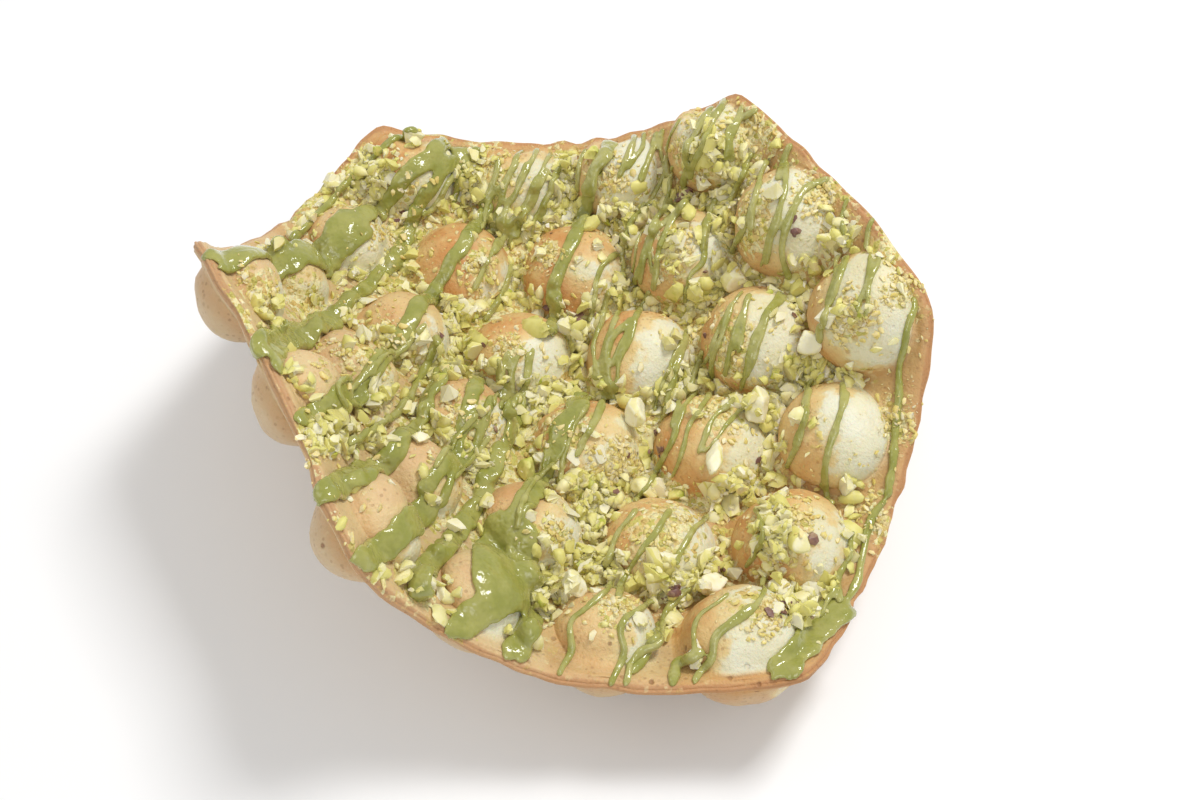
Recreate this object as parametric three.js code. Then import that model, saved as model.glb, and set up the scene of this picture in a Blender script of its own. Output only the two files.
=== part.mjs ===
// A bubble waffle: thirty hollow-looking bubbles joined by a thin web, sagging like a
// trough, with the larger pieces of chopped nut lying in its grooves. Millimetres, +Z up.
import * as THREE from 'three';

// ---- Driving dimensions -------------------------------------------------------------

/** Bubbles in each row, from the -Y edge to the +Y edge. Rows run along X. */
const ROW_COUNTS = [3, 4, 5, 6, 5, 4, 3];
const BUBBLE_PITCH = 33;
const ROW_PITCH = 26.2;

/** Radius of the bubbles in each row: the batter filled the iron less towards -Y. */
const ROW_RADII = [10.8, 11.1, 12, 13.2, 13.7, 13.9, 13.7];
/** The first bubble of each row filled less than the others, by this share. */
const FIRST_FILL = 0.92;
/** Height of a bubble above, and its depth below, the middle of the web, per radius. */
const BUBBLE_RISE = 0.95;
const BUBBLE_SPREAD = 0.035;

const WEB_THICKNESS = 3.4;
const RIM_THICKNESS = 2.4;
/** How far the parting ridge stands out of the rim, half way up it. */
const RIM_RIDGE = 0.7;
/** Least width of the flange between the outermost cells and the rim. */
const FLANGE_LEAST = 1.6;
const BASE_FILLET = 0.4;

/** Distance from the middle to each side of the rim, with the direction it faces. */
const RIM_SIDES = [
  { faces: 90, distance: 95 },
  { faces: 32.2, distance: 89 },
  { faces: -32.2, distance: 85 },
  { faces: -90, distance: 93 },
  { faces: -147.8, distance: 86 },
  { faces: 147.8, distance: 81 },
];
const RIM_CORNER_SHARPNESS = 50;
/** Batter that ran out at one corner of the iron. */
const RIM_FLAP = { faces: -68, width: 9, reach: 10 };

/** Depth by which the lowest bubbles are flattened where the waffle rests. */
const REST_FLAT = 2.5;

/** The sag: turn in radians of the sheet at 100 mm from the middle, by power of distance. */
const SAG_REACH = 100;
const SAG_ACROSS = [1.35, 0.05, -0.06];
const SAG_ALONG = [0.02, -0.12, 0.77];
/** Lean of the whole waffle about the X axis, in degrees: it lies over towards +Y. */
const LEAN = -6;
/** Warps of the sagging sheet: height in mm at SAG_REACH, by powers along and across. */
const WARPS = [
  { along: 1, across: 1, height: 9 },
  { along: 2, across: 1, height: 9.7 },
  { along: 1, across: 2, height: -7.6 },
  { along: 2, across: 2, height: -33 },
  { along: 3, across: 1, height: -24 },
];

/** Segments round a bubble, which are also three to each side of its six-sided cell. */
const SEGMENTS = 18;
/** Height angles in degrees of the rings on a bubble, from its base to near its top. */
const RING_ANGLES = [14, 38, 64];

/** Least gap between a nut piece and what it lies on. */
const NUT_GAP = 0.4;

/**
 * The larger nut pieces. Each lies near a bubble (row from -3 to 3, and place in the row
 * from 0), at a distance from its middle towards a direction, with its size, its turn
 * about the sheet's normal and its tip. All angles are degrees.
 */
const NUTS = [
  { row: 1, place: 3, out: 10.5, toward: -20, size: [14.2, 7.1, 5.3], turn: 130, tip: 20, taper: 0.6 },
  { row: 2, place: 3, out: 17, toward: -150, size: [13, 8.5, 7.1], turn: 115, tip: -20, taper: 0.5 },
  { row: 3, place: 2, out: 16, toward: -97, size: [8.3, 7.6, 5.9], turn: 40, tip: 15, taper: 0.4 },
  { row: -3, place: 2, out: 16.5, toward: 14, size: [8.8, 5.9, 5.3], turn: 85, tip: 25, taper: 0.1 },
  { row: -2, place: 3, out: 15.6, toward: 22, size: [11.2, 5.9, 5.3], turn: 70, tip: 35, taper: 0.5 },
  { row: -2, place: 3, out: 13, toward: 88, size: [10.1, 5.9, 5], turn: 100, tip: 15, taper: 0.4 },
  { row: -1, place: 4, out: 12, toward: -153, size: [7.8, 6.8, 5.4], turn: 20, tip: 10, taper: 0.2 },
  { row: -1, place: 3, out: 17, toward: 152, size: [8.7, 5.7, 5], turn: 150, tip: 0, taper: 0.1 },
  { row: 2, place: 0, out: 17, toward: -12, size: [12.4, 7.1, 5.7], turn: 105, tip: 10, taper: 0.3 },
  { row: 1, place: 1, out: 14, toward: 112, size: [7.1, 5.4, 5], turn: 80, tip: 0, taper: 0.3 },
  { row: 2, place: 1, out: 12, toward: 99, size: [8.5, 5.9, 4.7], turn: 175, tip: 10, taper: 0.2 },
  { row: 3, place: 1, out: 16, toward: 152, size: [7.8, 5.7, 5.2], turn: 75, tip: 20, taper: 0.4 },
  { row: 2, place: 2, out: 17, toward: 152, size: [9.4, 8.3, 6.4], turn: 45, tip: -10, taper: 0.2 },
  { row: 0, place: 3, out: 14.5, toward: 81, size: [8.3, 8, 6.6], turn: 0, tip: 0, taper: 0 },
  { row: 0, place: 4, out: 16, toward: 158, size: [7.8, 6.4, 5.2], turn: 35, tip: 0, taper: 0.2 },
  { row: 0, place: 2, out: 15, toward: 84, size: [10.1, 5.2, 4.7], turn: 95, tip: 5, taper: 0.3 },
  { row: 1, place: 4, out: 9, toward: -13, size: [8.3, 5.7, 4.7], turn: 150, tip: 5, taper: 0.1 },
  { row: 0, place: 5, out: 15, toward: 103, size: [6.6, 5.7, 4.7], turn: 10, tip: 0, taper: 0.2 },
  { row: 0, place: 5, out: 16, toward: 166, size: [8.3, 7.3, 5.9], turn: 60, tip: 0, taper: 0.3 },
  { row: 0, place: 4, out: 15.5, toward: -35, size: [7.6, 6.1, 5.2], turn: 110, tip: 10, taper: 0.2 },
];
const NUT_SEGMENTS = 8;
const NUT_BANDS = 4;
/** A nut piece is chopped flat at one end, this far along its half length. */
const NUT_CHOP = 0.72;

const WAFFLE_LOOK = { color: 0xd9a866, roughness: 0.75, metalness: 0 };
const NUT_LOOK = { color: 0xdcdf8e, roughness: 0.6, metalness: 0 };

// ---- The sagging sheet ----------------------------------------------------------------

const X_AXIS = new THREE.Vector3(1, 0, 0);

/** Run and rise of a strip that turns more and more with its length, by the given rates. */
function bentStrip(rates, length) {
  const steps = 32;
  const step = length / steps;
  let run = 0;
  let rise = 0;
  for (let i = 0; i < steps; i += 1) {
    const reach = (step * (i + 0.5)) / SAG_REACH;
    const angle = rates.reduce((sum, rate, power) => sum + rate * reach ** (power + 1), 0);
    run += Math.cos(angle) * step;
    rise += Math.sin(angle) * step;
  }
  return { run, rise };
}

/** The middle of the sheet at a distance along the rows and across them. */
function sheetPoint(along, across) {
  const lengthwise = bentStrip(SAG_ALONG, along);
  const crosswise = bentStrip(SAG_ACROSS, across);
  const warp = WARPS.reduce((sum, term) => {
    const byAlong = (along / SAG_REACH) ** term.along;
    const byAcross = (across / SAG_REACH) ** term.across;
    return sum + term.height * byAlong * byAcross;
  }, 0);
  const height = lengthwise.rise + crosswise.rise + warp;
  return new THREE.Vector3(lengthwise.run, crosswise.run, height)
    .applyAxisAngle(X_AXIS, THREE.MathUtils.degToRad(LEAN));
}

/** Point and right-angled axes of the sheet: u along the rows, v across, n out of the top. */
function sheetFrame(along, across) {
  const reach = 0.5;
  const point = sheetPoint(along, across);
  const u = sheetPoint(along + reach, across).sub(sheetPoint(along - reach, across)).normalize();
  const across1 = sheetPoint(along, across + reach).sub(sheetPoint(along, across - reach));
  const n = u.clone().cross(across1).normalize();
  const v = n.clone().cross(u);
  return { point, u, v, n };
}

/** A point given by its place in a frame. */
function inFrame(frame, x, y, z) {
  return frame.point.clone()
    .addScaledVector(frame.u, x)
    .addScaledVector(frame.v, y)
    .addScaledVector(frame.n, z);
}

// ---- The bubbles ------------------------------------------------------------------------

/** A repeatable number from -1 to 1 for the given key. */
function unevenness(key) {
  const wave = Math.sin(key * 12.9898) * 43758.5453;
  return 2 * (wave - Math.floor(wave)) - 1;
}

/** All thirty bubbles, row by row, with their places on the flat sheet and their frames. */
function makeBubbles() {
  const bubbles = [];
  ROW_COUNTS.forEach((count, index) => {
    const row = index - (ROW_COUNTS.length - 1) / 2;
    for (let place = 0; place < count; place += 1) {
      const along = (place - (count - 1) / 2) * BUBBLE_PITCH;
      const across = row * ROW_PITCH;
      const key = bubbles.length + 1;
      const fill = place === 0 ? FIRST_FILL : 1;
      const radius = ROW_RADII[index] * fill * (1 + BUBBLE_SPREAD * unevenness(key));
      bubbles.push({
        row,
        place,
        along,
        across,
        frame: sheetFrame(along, across),
        radius,
        rise: radius * BUBBLE_RISE,
      });
    }
  });
  return bubbles;
}

/** Corner i of a bubble's six-sided cell, where it meets two neighbouring cells. */
function cellCorner(i) {
  const side = BUBBLE_PITCH / 2;
  const tip = (ROW_PITCH + (side * side) / ROW_PITCH) / 2;
  const shoulder = ROW_PITCH - tip;
  const corners = [
    [side, -shoulder], [side, shoulder], [0, tip],
    [-side, shoulder], [-side, -shoulder], [0, -tip],
  ];
  return corners[i % corners.length];
}

/** Points round a cell's edge, three to a side, counter-clockwise from above. */
function cellEdge() {
  const perSide = SEGMENTS / 6;
  return Array.from({ length: SEGMENTS }, (_, i) => {
    const [x0, y0] = cellCorner(Math.floor(i / perSide));
    const [x1, y1] = cellCorner(Math.floor(i / perSide) + 1);
    const share = (i % perSide) / perSide;
    return [x0 + (x1 - x0) * share, y0 + (y1 - y0) * share];
  });
}

/** Distance from the middle of the waffle to its rim in a direction on the flat sheet. */
function rimReach(angle) {
  const sides = RIM_SIDES.reduce((sum, side) => {
    const facing = Math.cos(angle - THREE.MathUtils.degToRad(side.faces));
    return facing > 0 ? sum + (facing / side.distance) ** RIM_CORNER_SHARPNESS : sum;
  }, 0);
  const offFlap = (THREE.MathUtils.radToDeg(angle) - RIM_FLAP.faces) / RIM_FLAP.width;
  return sides ** (-1 / RIM_CORNER_SHARPNESS) + RIM_FLAP.reach * Math.exp(-offFlap * offFlap);
}

/** The nearest place to a point of the flat sheet that leaves room for the flange. */
function withinRim(along, across) {
  const most = rimReach(Math.atan2(across, along)) - FLANGE_LEAST;
  const share = Math.min(1, most / Math.hypot(along, across));
  return [along * share, across * share];
}

// ---- The waffle -------------------------------------------------------------------------

/** Gathers corners and triangles of one closed surface. */
class Surface {
  constructor() {
    this.corners = [];
    this.triangles = [];
    this.named = new Map();
  }

  /** Adds a corner, or finds the one that has this name already. */
  corner(point, name) {
    if (name !== undefined && this.named.has(name)) return this.named.get(name);
    this.corners.push(point);
    if (name !== undefined) this.named.set(name, this.corners.length - 1);
    return this.corners.length - 1;
  }

  /** Adds a four-sided face as two triangles. */
  quad(a, b, c, d) {
    this.triangles.push(a, b, c, a, c, d);
  }

  /** Joins two closed rings of corners, the outer one first, counter-clockwise. */
  band(outer, inner) {
    outer.forEach((corner, i) => {
      const next = (i + 1) % outer.length;
      this.quad(corner, outer[next], inner[next], inner[i]);
    });
  }

  /** The surface as a geometry. */
  geometry() {
    const geometry = new THREE.BufferGeometry();
    const numbers = this.corners.flatMap((point) => point.toArray());
    geometry.setAttribute('position', new THREE.Float32BufferAttribute(numbers, 3));
    geometry.setIndex(this.triangles);
    geometry.computeVertexNormals();
    return geometry;
  }
}

/** Name of a corner that neighbouring cells share. */
function sharedName(along, across, side) {
  return `${Math.round(along * 10)},${Math.round(across * 10)},${side}`;
}

/** One half of a bubble with the web round it. Side is 1 for the top and -1 for below. */
function addHalfBubble(surface, bubble, side) {
  const edge = cellEdge();
  const outline = edge.map(([x, y]) => {
    const along = bubble.along + x;
    const across = bubble.across + y;
    const frame = sheetFrame(...withinRim(along, across));
    const point = inFrame(frame, 0, 0, (side * WEB_THICKNESS) / 2);
    return surface.corner(point, sharedName(along, across, side));
  });
  const rings = RING_ANGLES.map((degrees, level) => {
    const angle = THREE.MathUtils.degToRad(degrees);
    return edge.map(([x, y]) => {
      const direction = Math.atan2(y, x);
      const reach = level === 0 ? bubble.radius : bubble.radius * Math.cos(angle);
      const dx = reach * Math.cos(direction);
      const dy = reach * Math.sin(direction);
      if (level === 0) {
        const frame = sheetFrame(bubble.along + dx, bubble.across + dy);
        return surface.corner(inFrame(frame, 0, 0, side * (WEB_THICKNESS / 2 + BASE_FILLET)));
      }
      return surface.corner(inFrame(bubble.frame, dx, dy, side * bubble.rise * Math.sin(angle)));
    });
  });
  const top = surface.corner(inFrame(bubble.frame, 0, 0, side * bubble.rise));
  const levels = [outline, ...rings];
  if (side < 0) levels.forEach((ring) => ring.reverse());
  for (let i = 0; i + 1 < levels.length; i += 1) surface.band(levels[i], levels[i + 1]);
  const last = levels[levels.length - 1];
  last.forEach((corner, i) => surface.triangles.push(corner, last[(i + 1) % last.length], top));
}

/** Edges of the cells that no neighbour shares, counter-clockwise round the waffle. */
function outerEdges(bubbles) {
  const edges = new Map();
  bubbles.forEach((bubble) => {
    const edge = cellEdge().map(([x, y]) => [bubble.along + x, bubble.across + y]);
    edge.forEach((start, i) => {
      const end = edge[(i + 1) % edge.length];
      const back = `${sharedName(...end, 0)}:${sharedName(...start, 0)}`;
      if (edges.has(back)) edges.delete(back);
      else edges.set(`${sharedName(...start, 0)}:${sharedName(...end, 0)}`, { start, end });
    });
  });
  return [...edges.values()];
}

/** Corners of the flange and rim at one place on the edge of the outermost cells. */
function rimCorners(surface, [along, across]) {
  const angle = Math.atan2(across, along);
  const reach = rimReach(angle);
  const at = (distance, height, name) => {
    const frame = sheetFrame(distance * Math.cos(angle), distance * Math.sin(angle));
    return surface.corner(inFrame(frame, 0, 0, height), sharedName(along, across, name));
  };
  return {
    top: surface.named.get(sharedName(along, across, 1)),
    below: surface.named.get(sharedName(along, across, -1)),
    rimTop: at(reach, RIM_THICKNESS / 2, 'rimTop'),
    ridge: at(reach + RIM_RIDGE, 0, 'ridge'),
    rimBelow: at(reach, -RIM_THICKNESS / 2, 'rimBelow'),
  };
}

/** The flat flange outside the bubbles, with the ridge where the iron's halves met. */
function addFlange(surface, bubbles) {
  outerEdges(bubbles).forEach(({ start, end }) => {
    const a = rimCorners(surface, start);
    const b = rimCorners(surface, end);
    surface.quad(a.top, a.rimTop, b.rimTop, b.top);
    surface.quad(a.rimTop, a.ridge, b.ridge, b.rimTop);
    surface.quad(a.ridge, a.rimBelow, b.rimBelow, b.ridge);
    surface.quad(a.below, b.below, b.rimBelow, a.rimBelow);
  });
}

/** Height of the plane that the flattened bubbles rest on. */
function restHeight(bubbles) {
  const lowest = bubbles.map((bubble) => inFrame(bubble.frame, 0, 0, -bubble.rise).z);
  return Math.min(...lowest) + REST_FLAT;
}

/** The whole waffle: every bubble, the web, the flange and the flats it rests on. */
function makeWaffle(bubbles) {
  const surface = new Surface();
  bubbles.forEach((bubble) => {
    addHalfBubble(surface, bubble, 1);
    addHalfBubble(surface, bubble, -1);
  });
  addFlange(surface, bubbles);
  const floor = restHeight(bubbles);
  surface.corners.forEach((point) => {
    point.z = Math.max(point.z, floor);
  });
  const waffle = new THREE.Mesh(surface.geometry(), new THREE.MeshStandardMaterial(WAFFLE_LOOK));
  waffle.name = 'waffle';
  return waffle;
}

// ---- The nut pieces -----------------------------------------------------------------------

/** A chopped nut: egg-shaped, narrower to one end and cut flat at the other. */
function nutGeometry([length, width, height], taper) {
  const ball = new THREE.SphereGeometry(1, NUT_SEGMENTS, NUT_BANDS);
  const places = ball.getAttribute('position');
  const surface = new Surface();
  const corners = Array.from({ length: places.count }, (_, i) => {
    const spot = new THREE.Vector3().fromBufferAttribute(places, i);
    const end = Math.max(spot.y, -NUT_CHOP);
    const slim = 1 - (taper * (end + 1)) / 2;
    const point = new THREE.Vector3(
      (end * length) / 2,
      (spot.x * width * slim) / 2,
      (spot.z * height * slim) / 2,
    );
    const name = spot.toArray().map((value) => Math.round(value * 1000)).join();
    return surface.corner(point, name);
  });
  const index = ball.getIndex();
  for (let i = 0; i < index.count; i += 3) {
    const [a, b, c] = [0, 1, 2].map((k) => corners[index.getX(i + k)]);
    if (a !== b && b !== c && c !== a) surface.triangles.push(b, a, c);
  }
  return surface.geometry();
}

/** Clear height of a point over the top of the waffle, negative when it is inside. */
function clearance(point, guess, bubbles) {
  const sheet = sheetFrame(guess.along, guess.across);
  const overWeb = point.clone().sub(sheet.point).dot(sheet.n) - WEB_THICKNESS / 2 - BASE_FILLET;
  return bubbles.reduce((least, bubble) => {
    const off = point.clone().sub(bubble.frame.point);
    const height = off.dot(bubble.frame.n);
    const across = off.addScaledVector(bubble.frame.n, -height).length();
    const scaled = Math.hypot(across / bubble.radius, height / bubble.rise);
    return Math.min(least, (scaled - 1) * bubble.rise);
  }, overWeb);
}

/** Corners and middles of a geometry's triangles, which stand for its surface. */
function surfaceSamples(geometry) {
  const places = geometry.getAttribute('position');
  const index = geometry.getIndex();
  const samples = [];
  for (let i = 0; i < index.count; i += 3) {
    const [a, b, c] = [0, 1, 2].map((k) => (
      new THREE.Vector3().fromBufferAttribute(places, index.getX(i + k))
    ));
    samples.push(a, a.clone().add(b).multiplyScalar(0.5));
    samples.push(a.clone().add(b).add(c).divideScalar(3));
  }
  return samples;
}

/** A nut piece let down onto the waffle until it is one gap above it. */
function makeNut(nut, number, bubbles) {
  const host = bubbles.find((bubble) => bubble.row === nut.row && bubble.place === nut.place);
  const toward = THREE.MathUtils.degToRad(nut.toward);
  const along = host.along + nut.out * Math.cos(toward);
  const across = host.across + nut.out * Math.sin(toward);
  const base = sheetFrame(along, across);

  const geometry = nutGeometry(nut.size, nut.taper);
  const turn = THREE.MathUtils.degToRad(nut.turn);
  const tip = THREE.MathUtils.degToRad(nut.tip);
  const axes = new THREE.Matrix4().makeBasis(base.u, base.v, base.n);
  const turned = new THREE.Matrix4().makeRotationZ(turn);
  const tipped = new THREE.Matrix4().makeRotationY(tip);
  const rotation = axes.clone().multiply(turned).multiply(tipped);

  const nearby = bubbles.filter((bubble) => (
    Math.hypot(bubble.along - along, bubble.across - across) < 2 * BUBBLE_PITCH
  ));
  const samples = surfaceSamples(geometry).map((sample) => {
    const offset = sample.applyMatrix4(rotation);
    const guess = { along: along + offset.dot(base.u), across: across + offset.dot(base.v) };
    return { offset, guess };
  });
  const isClear = (lift) => samples.every(({ offset, guess }) => {
    const point = base.point.clone().addScaledVector(base.n, lift).add(offset);
    return clearance(point, guess, nearby) >= NUT_GAP;
  });
  const step = 0.1;
  let lift = 0;
  while (!isClear(lift)) lift += step;

  const mesh = new THREE.Mesh(geometry, new THREE.MeshStandardMaterial(NUT_LOOK));
  mesh.quaternion.setFromRotationMatrix(rotation);
  mesh.position.copy(base.point).addScaledVector(base.n, lift);
  mesh.name = `nut_${String(number).padStart(2, '0')}`;
  return mesh;
}

// ---- The whole, with the origin on the resting plane under the middle ---------------------

const bubbles = makeBubbles();
const waffle = makeWaffle(bubbles);
const part = new THREE.Group();
part.add(waffle);
NUTS.forEach((nut, i) => part.add(makeNut(nut, i + 1, bubbles)));

const extent = new THREE.Box3().setFromObject(part, true);
const middle = extent.getCenter(new THREE.Vector3());
part.position.set(-middle.x, -middle.y, -extent.min.z);
part.updateMatrixWorld(true);

export default part;
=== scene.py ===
"""A bubble waffle with poured pistachio sauce and chopped pistachios. Metres, +Z up."""

import logging
import math
from collections.abc import Callable, Sequence
from dataclasses import dataclass
from enum import Enum

import bpy
import numpy as np
from mathutils import Matrix, Vector
from mathutils.bvhtree import BVHTree


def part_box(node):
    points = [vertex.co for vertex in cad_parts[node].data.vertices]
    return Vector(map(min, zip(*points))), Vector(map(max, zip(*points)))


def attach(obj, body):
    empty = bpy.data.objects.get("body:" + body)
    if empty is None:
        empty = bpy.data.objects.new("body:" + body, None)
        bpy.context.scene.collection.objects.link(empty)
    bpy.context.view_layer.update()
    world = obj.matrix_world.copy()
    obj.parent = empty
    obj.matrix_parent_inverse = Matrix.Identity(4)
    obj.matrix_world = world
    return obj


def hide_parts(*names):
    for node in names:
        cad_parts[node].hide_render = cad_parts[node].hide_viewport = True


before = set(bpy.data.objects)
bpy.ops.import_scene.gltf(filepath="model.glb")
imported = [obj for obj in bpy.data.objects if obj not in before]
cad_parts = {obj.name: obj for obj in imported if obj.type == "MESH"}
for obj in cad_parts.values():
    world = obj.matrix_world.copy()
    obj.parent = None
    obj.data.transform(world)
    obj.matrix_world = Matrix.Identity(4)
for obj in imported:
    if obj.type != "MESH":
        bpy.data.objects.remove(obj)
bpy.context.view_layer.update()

LOG = logging.getLogger("bubble_waffle")
MM = 0.001
TINY = 1e-9
WELD = 0.01 * MM
Array = np.ndarray
Object = bpy.types.Object
Socket = bpy.types.NodeSocket
Sizes = tuple[float, ...]


# ---- Bench tools -------------------------------------------------------------------------


def deselect() -> None:
    """Leaves nothing selected."""
    bpy.ops.object.select_all(action="DESELECT")


def take(piece: Object) -> None:
    """Makes a piece the only one selected and the active one.

    Args:
        piece: The piece.
    """
    deselect()
    piece.select_set(True)
    bpy.context.view_layer.objects.active = piece


def edit(piece: Object, chosen: Array | None = None) -> None:
    """Opens a piece in edit mode.

    Args:
        piece: The piece to open.
        chosen: Which of its vertices to select, or None for all of them.
    """
    take(piece)
    bpy.ops.object.mode_set(mode="EDIT")
    bpy.ops.mesh.select_mode(type="VERT")
    bpy.ops.mesh.select_all(action="SELECT" if chosen is None else "DESELECT")
    if chosen is None:
        return
    bpy.ops.object.mode_set(mode="OBJECT")
    piece.data.vertices.foreach_set("select", chosen.astype(bool))
    bpy.ops.object.mode_set(mode="EDIT")


def close() -> None:
    """Goes back to object mode."""
    bpy.ops.object.mode_set(mode="OBJECT")


def points_of(piece: Object) -> Array:
    """Reads where a piece's vertices are.

    Args:
        piece: The piece.

    Returns:
        Their places, one to a row.
    """
    places = np.empty(len(piece.data.vertices) * 3)
    piece.data.vertices.foreach_get("co", places)
    return places.reshape(-1, 3)


def put_points(piece: Object, places: Array) -> None:
    """Moves a piece's vertices to the given places."""
    piece.data.vertices.foreach_set("co", np.ascontiguousarray(places).ravel())
    piece.data.update()


def triangles_of(piece: Object) -> Array:
    """Reads a piece's triangles.

    Args:
        piece: The piece.

    Returns:
        Their vertex numbers, one triangle to a row.
    """
    piece.data.calc_loop_triangles()
    corners = np.empty(len(piece.data.loop_triangles) * 3, dtype=np.int32)
    piece.data.loop_triangles.foreach_get("vertices", corners)
    return corners.reshape(-1, 3)


def new_piece(name: str, places: Array, faces: Array) -> Object:
    """A piece made of the given vertices and faces.

    Args:
        name: The piece's name.
        places: Its vertices, one to a row.
        faces: The vertex numbers of its faces, one face to a row.

    Returns:
        The new piece, linked into the scene.
    """
    mesh = bpy.data.meshes.new(name)
    mesh.from_pydata(places.tolist(), [], faces.tolist())
    mesh.update()
    piece = bpy.data.objects.new(name, mesh)
    bpy.context.scene.collection.objects.link(piece)
    return piece


def rename(piece: Object, name: str) -> None:
    """Gives a piece and its mesh one name."""
    piece.name = name
    piece.data.name = name


def join_all(pieces: Sequence[Object], name: str) -> Object:
    """Joins pieces into the first of them and names it.

    Args:
        pieces: The pieces.
        name: The joined piece's name.

    Returns:
        The joined piece.
    """
    take(pieces[0])
    for piece in pieces:
        piece.select_set(True)
    bpy.ops.object.join()
    rename(pieces[0], name)
    return pieces[0]


def finish_with(piece: Object, kind: str, **settings: object) -> None:
    """Adds a modifier to a piece and applies it.

    Args:
        piece: The piece to change.
        kind: The modifier's type.
        settings: Values for the modifier.
    """
    modifier = piece.modifiers.new(kind.lower(), kind)
    for key, value in settings.items():
        setattr(modifier, key, value)
    take(piece)
    bpy.ops.object.modifier_apply(modifier=modifier.name)


def in_order(piece: Object) -> None:
    """Lists a piece's faces in one fixed order, which edit mode's tools don't keep to.

    Args:
        piece: The piece.
    """
    places = points_of(piece).tolist()
    faces = []
    for face in piece.data.polygons:
        corners = list(face.vertices)
        first = corners.index(min(corners))
        faces.append(corners[first:] + corners[:first])
    piece.data.clear_geometry()
    piece.data.from_pydata(places, [], sorted(faces))
    piece.data.update()


def drop_scraps(piece: Object, least: int) -> Object:
    """Deletes each loose shell of a piece that has too few faces to be seen.

    Args:
        piece: The piece.
        least: The fewest faces that a shell is kept with.

    Returns:
        What is left of the piece, as one object of the same name.
    """
    name = piece.name
    edit(piece)
    bpy.ops.mesh.separate(type="LOOSE")
    close()
    kept = []
    for shell in list(bpy.context.selected_objects):
        if len(shell.data.polygons) < least:
            bpy.data.objects.remove(shell)
        else:
            kept.append(shell)
    return join_all(kept, name)


def smooth(piece: Object, degrees: float | None = None) -> None:
    """Shades a piece smooth.

    Args:
        piece: The piece.
        degrees: Edges sharper than this stay crisp. With None, none do.
    """
    take(piece)
    if degrees is None:
        bpy.ops.object.shade_smooth()
    else:
        bpy.ops.object.shade_smooth_by_angle(angle=math.radians(degrees))


def note(piece: Object, name: str, values: Array, domain: str = "POINT") -> None:
    """Keeps one number for each vertex or face of a piece, for its material to read."""
    attribute = piece.data.attributes.new(name, "FLOAT", domain)
    attribute.data.foreach_set("value", values.astype(np.float32))


def tree_of(pieces: Sequence[Object]) -> BVHTree:
    """Makes a search tree over the surfaces of several pieces together.

    Args:
        pieces: The pieces.

    Returns:
        The tree.
    """
    places = []
    corners = []
    count = 0
    for piece in pieces:
        spots = points_of(piece)
        places.append(spots)
        corners.append(triangles_of(piece) + count)
        count += len(spots)
    return BVHTree.FromPolygons(
        np.concatenate(places).tolist(), np.concatenate(corners).tolist(), all_triangles=True
    )


def lengths(rows: Array) -> Array:
    """The length of each row."""
    return np.linalg.norm(rows, axis=1)


def unit(rows: Array) -> Array:
    """Each row turned into a direction, one long."""
    return rows / np.maximum(lengths(rows), TINY)[:, None]


def angles(flat: Array) -> Array:
    """Which way each flat point lies from the origin."""
    return np.arctan2(flat[:, 1], flat[:, 0])


def headings(turns: Array) -> Array:
    """The flat directions of the given angles, one to a row."""
    return np.stack([np.cos(turns), np.sin(turns)], axis=1)


def random_way(rng: np.random.Generator) -> Array:
    """A direction in space, picked at random."""
    way = rng.normal(size=3)
    return way / np.linalg.norm(way)


@dataclass(frozen=True)
class Swell:
    """Smooth unevenness: how high and how far apart its waves are, and its pattern."""

    height: float
    wavelength: float
    seed: int = 0
    waves: int = 12
    spread: Sizes = (0.7, 1.6)
    calm: float = 1.2

    def over(self, places: Array, turn: int = 0) -> Array:
        """The unevenness at given points.

        Args:
            places: Points, one to a row.
            turn: Picks another pattern, where one swell serves many times.

        Returns:
            One number for each point, mostly between -height and height.
        """
        rng = np.random.default_rng(self.seed + turn)
        ways = unit(rng.normal(size=(self.waves, places.shape[1])))
        spans = self.wavelength * rng.uniform(*self.spread, self.waves)
        phases = rng.uniform(0.0, math.tau, self.waves)
        sines = np.sin(places @ (ways / spans[:, None]).T * math.tau + phases)
        return self.height * (sines.sum(axis=1) / (self.calm * math.sqrt(self.waves)))


def ease(values: Array | float, low: float, high: float) -> Array:
    """Rises smoothly from 0 at the low value to 1 at the high one."""
    share = np.clip((np.asarray(values) - low) / (high - low), 0.0, 1.0)
    return share * share * (3.0 - 2.0 * share)


# ---- The sagging sheet and the iron's pattern ----------------------------------------------


@dataclass(frozen=True)
class Frames:
    """Points of the sheet with its axes there, one to a row."""

    point: Array
    u: Array
    v: Array
    n: Array


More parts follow.
